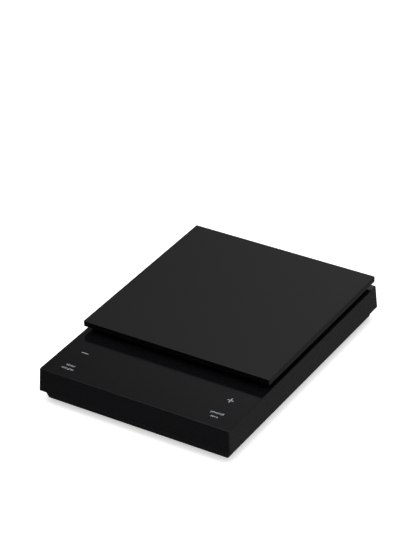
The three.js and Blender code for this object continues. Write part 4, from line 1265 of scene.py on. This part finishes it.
def add_battery(node, nub_at_front, sleeve_material, can_material):
    low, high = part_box(node)
    middle = centre_of(node)
    radius = radius_of(node)
    wrap = SLEEVE_THICKNESS
    round_out = BATTERY_SHOULDER
    length = high.y - low.y
    end = length - NUB_HEIGHT
    groove = end - NUB_GROOVE_DEPTH
    lip = radius - SLEEVE_LIP
    inner = radius - wrap - round_out
    can = [
        (0, 0),
        *quarter(inner, round_out, round_out, -90),
        *quarter(inner, end - round_out, round_out, 0),
        (NUB_RADIUS + NUB_RING, end),
        (NUB_RADIUS + NUB_GROOVE, groove),
        (NUB_RADIUS, groove),
        *quarter(NUB_RADIUS - NUB_EDGE, length - NUB_EDGE, NUB_EDGE, 0),
        (0, length),
    ]
    sleeve = [
        (lip, SLEEVE_GAP),
        *quarter(radius - round_out, round_out, round_out, -90),
        *quarter(radius - round_out, end - round_out, round_out, 0),
        (lip, end),
        (lip, end - wrap),
        *reversed(quarter(inner, end - round_out, round_out - wrap / 2, 0)),
        *reversed(quarter(inner, round_out, round_out - wrap / 2, -90)),
        (lip, wrap),
        (lip, SLEEVE_GAP),
    ]
    turn = Matrix.Rotation(math.pi / 2 if nub_at_front else -math.pi / 2, 4, "X")
    start_y = high.y if nub_at_front else low.y
    place = Matrix.Translation((middle.x, start_y, middle.z)) @ turn
    pieces = []
    for name, profile, material in (("can", can, can_material), ("sleeve", sleeve, sleeve_material)):
        bm = bmesh.new()
        turned(bm, profile)
        bmesh.ops.transform(bm, matrix=place, verts=bm.verts)
        made = piece(f"{node}_{name}", bm, material)
        shade(made)
        pieces.append(made)
    stand_for(pieces[1], "housing", "battery_wrap", node)
    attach(pieces[0], "housing")


def coil(bm, root, direction):
    """A spring of round wire along Y that narrows from its root."""
    count = COIL_TURNS * COIL_STEPS
    curve = bpy.data.curves.new("coil", "CURVE")
    curve.dimensions = "3D"
    curve.bevel_depth = COIL_WIRE
    curve.bevel_resolution = WIRE_STEPS
    curve.use_fill_caps = True
    spline = curve.splines.new("POLY")
    spline.points.add(count)
    for step, point in enumerate(spline.points):
        share = step / count
        angle = share * COIL_TURNS * 2 * math.pi
        radius = COIL_RADIUS + (COIL_END_RADIUS - COIL_RADIUS) * share
        x = root[0] + radius * math.cos(angle)
        z = root[2] + radius * math.sin(angle)
        point.co = (x, root[1] + direction * COIL_REACH * share, z, 1)
    from_curve(bm, curve, None, COIL_WIRE / 1000)


def add_contact(node, plates, button_x, coil_x, at_front, tag_x, material):
    """A sheet contact on the bay's end wall, with a raised button, a coil and a solder tag as asked."""
    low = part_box(node)[0]
    middle_z = centre_of("battery_1").z
    direction = 1 if at_front else -1
    back = bay_front + SEAT if at_front else bay_rear - SEAT
    front = back + direction * CONTACT_THICKNESS
    half_height = middle_z - contact_bottom
    bm = bmesh.new()
    block(bm, (plates[0], min(back, front), middle_z - half_height),
          (plates[1], max(back, front), middle_z + half_height))
    made = piece(f"{node}_pressing", bm, material)
    if button_x is not None:
        def button(bm):
            profile = disc_profile(BUTTON_RADIUS, -SEAT, BUTTON_HEIGHT, BUTTON_EDGE)
            verts = turned(bm, profile, SMALL_STEPS)
            turn = Matrix.Rotation(-direction * math.pi / 2, 3, "X")
            bmesh.ops.rotate(bm, cent=(0, 0, 0), matrix=turn, verts=verts)
            bmesh.ops.translate(bm, vec=(button_x, front, middle_z), verts=verts)
        join(made, button)
    if tag_x is not None:
        def tag(bm):
            block(bm, (tag_x - TAG_WIDTH / 2, low.y, middle_z - TAG_THICKNESS / 2),
                  (tag_x + TAG_WIDTH / 2, back + SEAT, middle_z + TAG_THICKNESS / 2))
        join(made, tag)
    soften(made, SHEET_EDGE, 2)
    if coil_x is not None:
        bm = bmesh.new()
        bm.from_mesh(made.data)
        coil(bm, (coil_x, front, middle_z), direction)
        bm.to_mesh(made.data)
        bm.free()
        shade(made)
    stand_for(made, "housing", "spring_steel", node)


def add_batteries():
    sleeve = battery_sleeve()
    can = battery_can()
    add_battery("battery_1", True, sleeve, can)
    add_battery("battery_2", False, sleeve, can)
    nickel = spring_nickel()
    left = centre_of("battery_1").x
    right = centre_of("battery_2").x
    half = CONTACT_WIDTH / 2
    add_contact("battery_contact_positive", (left - half, left + half), left, None, True, left, nickel)
    add_contact("battery_contact_negative", (right - half, right + half), None, right, True, right,
                nickel)
    add_contact("battery_link", (left - half, right + half), right, left, False, None, nickel)


# ---- What the closed housing hides


def add_inner_parts():
    resin = chip_resin()
    nylon = socket_nylon()
    silicone = gauge_silicone()
    for node, body, slot, material, edge in (
        ("load_cell", BENDING, "cell_aluminium", cell_aluminium(), 0.25 * MM),
        ("gauge_cover_upper", BENDING, "gauge_coating", silicone, 0.35 * MM),
        ("gauge_cover_lower", BENDING, "gauge_coating", silicone, 0.35 * MM),
        ("lead_potting", "housing", "gauge_coating", silicone, 0.35 * MM),
        ("main_board", "housing", "board_laminate", board_mask(), 0.1 * MM),
        ("controller_chip", "housing", "chip_resin", resin, 0.15 * MM),
        ("converter_chip", "housing", "chip_resin", resin, 0.15 * MM),
        ("buzzer", "housing", "chip_resin", resin, 0.15 * MM),
        ("load_cell_socket", "housing", "socket_nylon", nylon, 0.2 * MM),
        ("battery_socket", "housing", "socket_nylon", nylon, 0.2 * MM),
        ("display_module", "housing", "display_housing", display_housing(), 0.25 * MM),
        ("display_diffuser", "housing", "diffuser_film", diffuser_film(), 0.1 * MM),
    ):
        finer_copy(node, body, slot, material, edge)
    nickel = spring_nickel()
    for side in ("left", "minus", "right", "plus"):
        rounded_copy(f"touch_spring_{side}", "spring_steel", nickel)
    for node, slot, material in (
        ("load_cell_cable", "cable_jacket", cable_pvc("grey_pvc", "#808387", "#8d9094")),
        ("battery_lead_positive", "red_insulation", cable_pvc("red_pvc", "#8f1711", "#a8201a")),
        ("battery_lead_negative", "black_insulation", cable_pvc("black_pvc", "#101010", "#1a1a1a")),
    ):
        rounded_copy(node, slot, material)


# ---- The scene

bpy.context.scene.view_settings.view_transform = "Standard"
add_camera()
add_world()
add_overhead_light()
add_floor()
add_plate()
add_pads()
add_carrier()
add_screws()
add_stop_screw()
add_shell()
add_tray()
add_door()
add_feet()
add_legends()
add_batteries()
add_inner_parts()
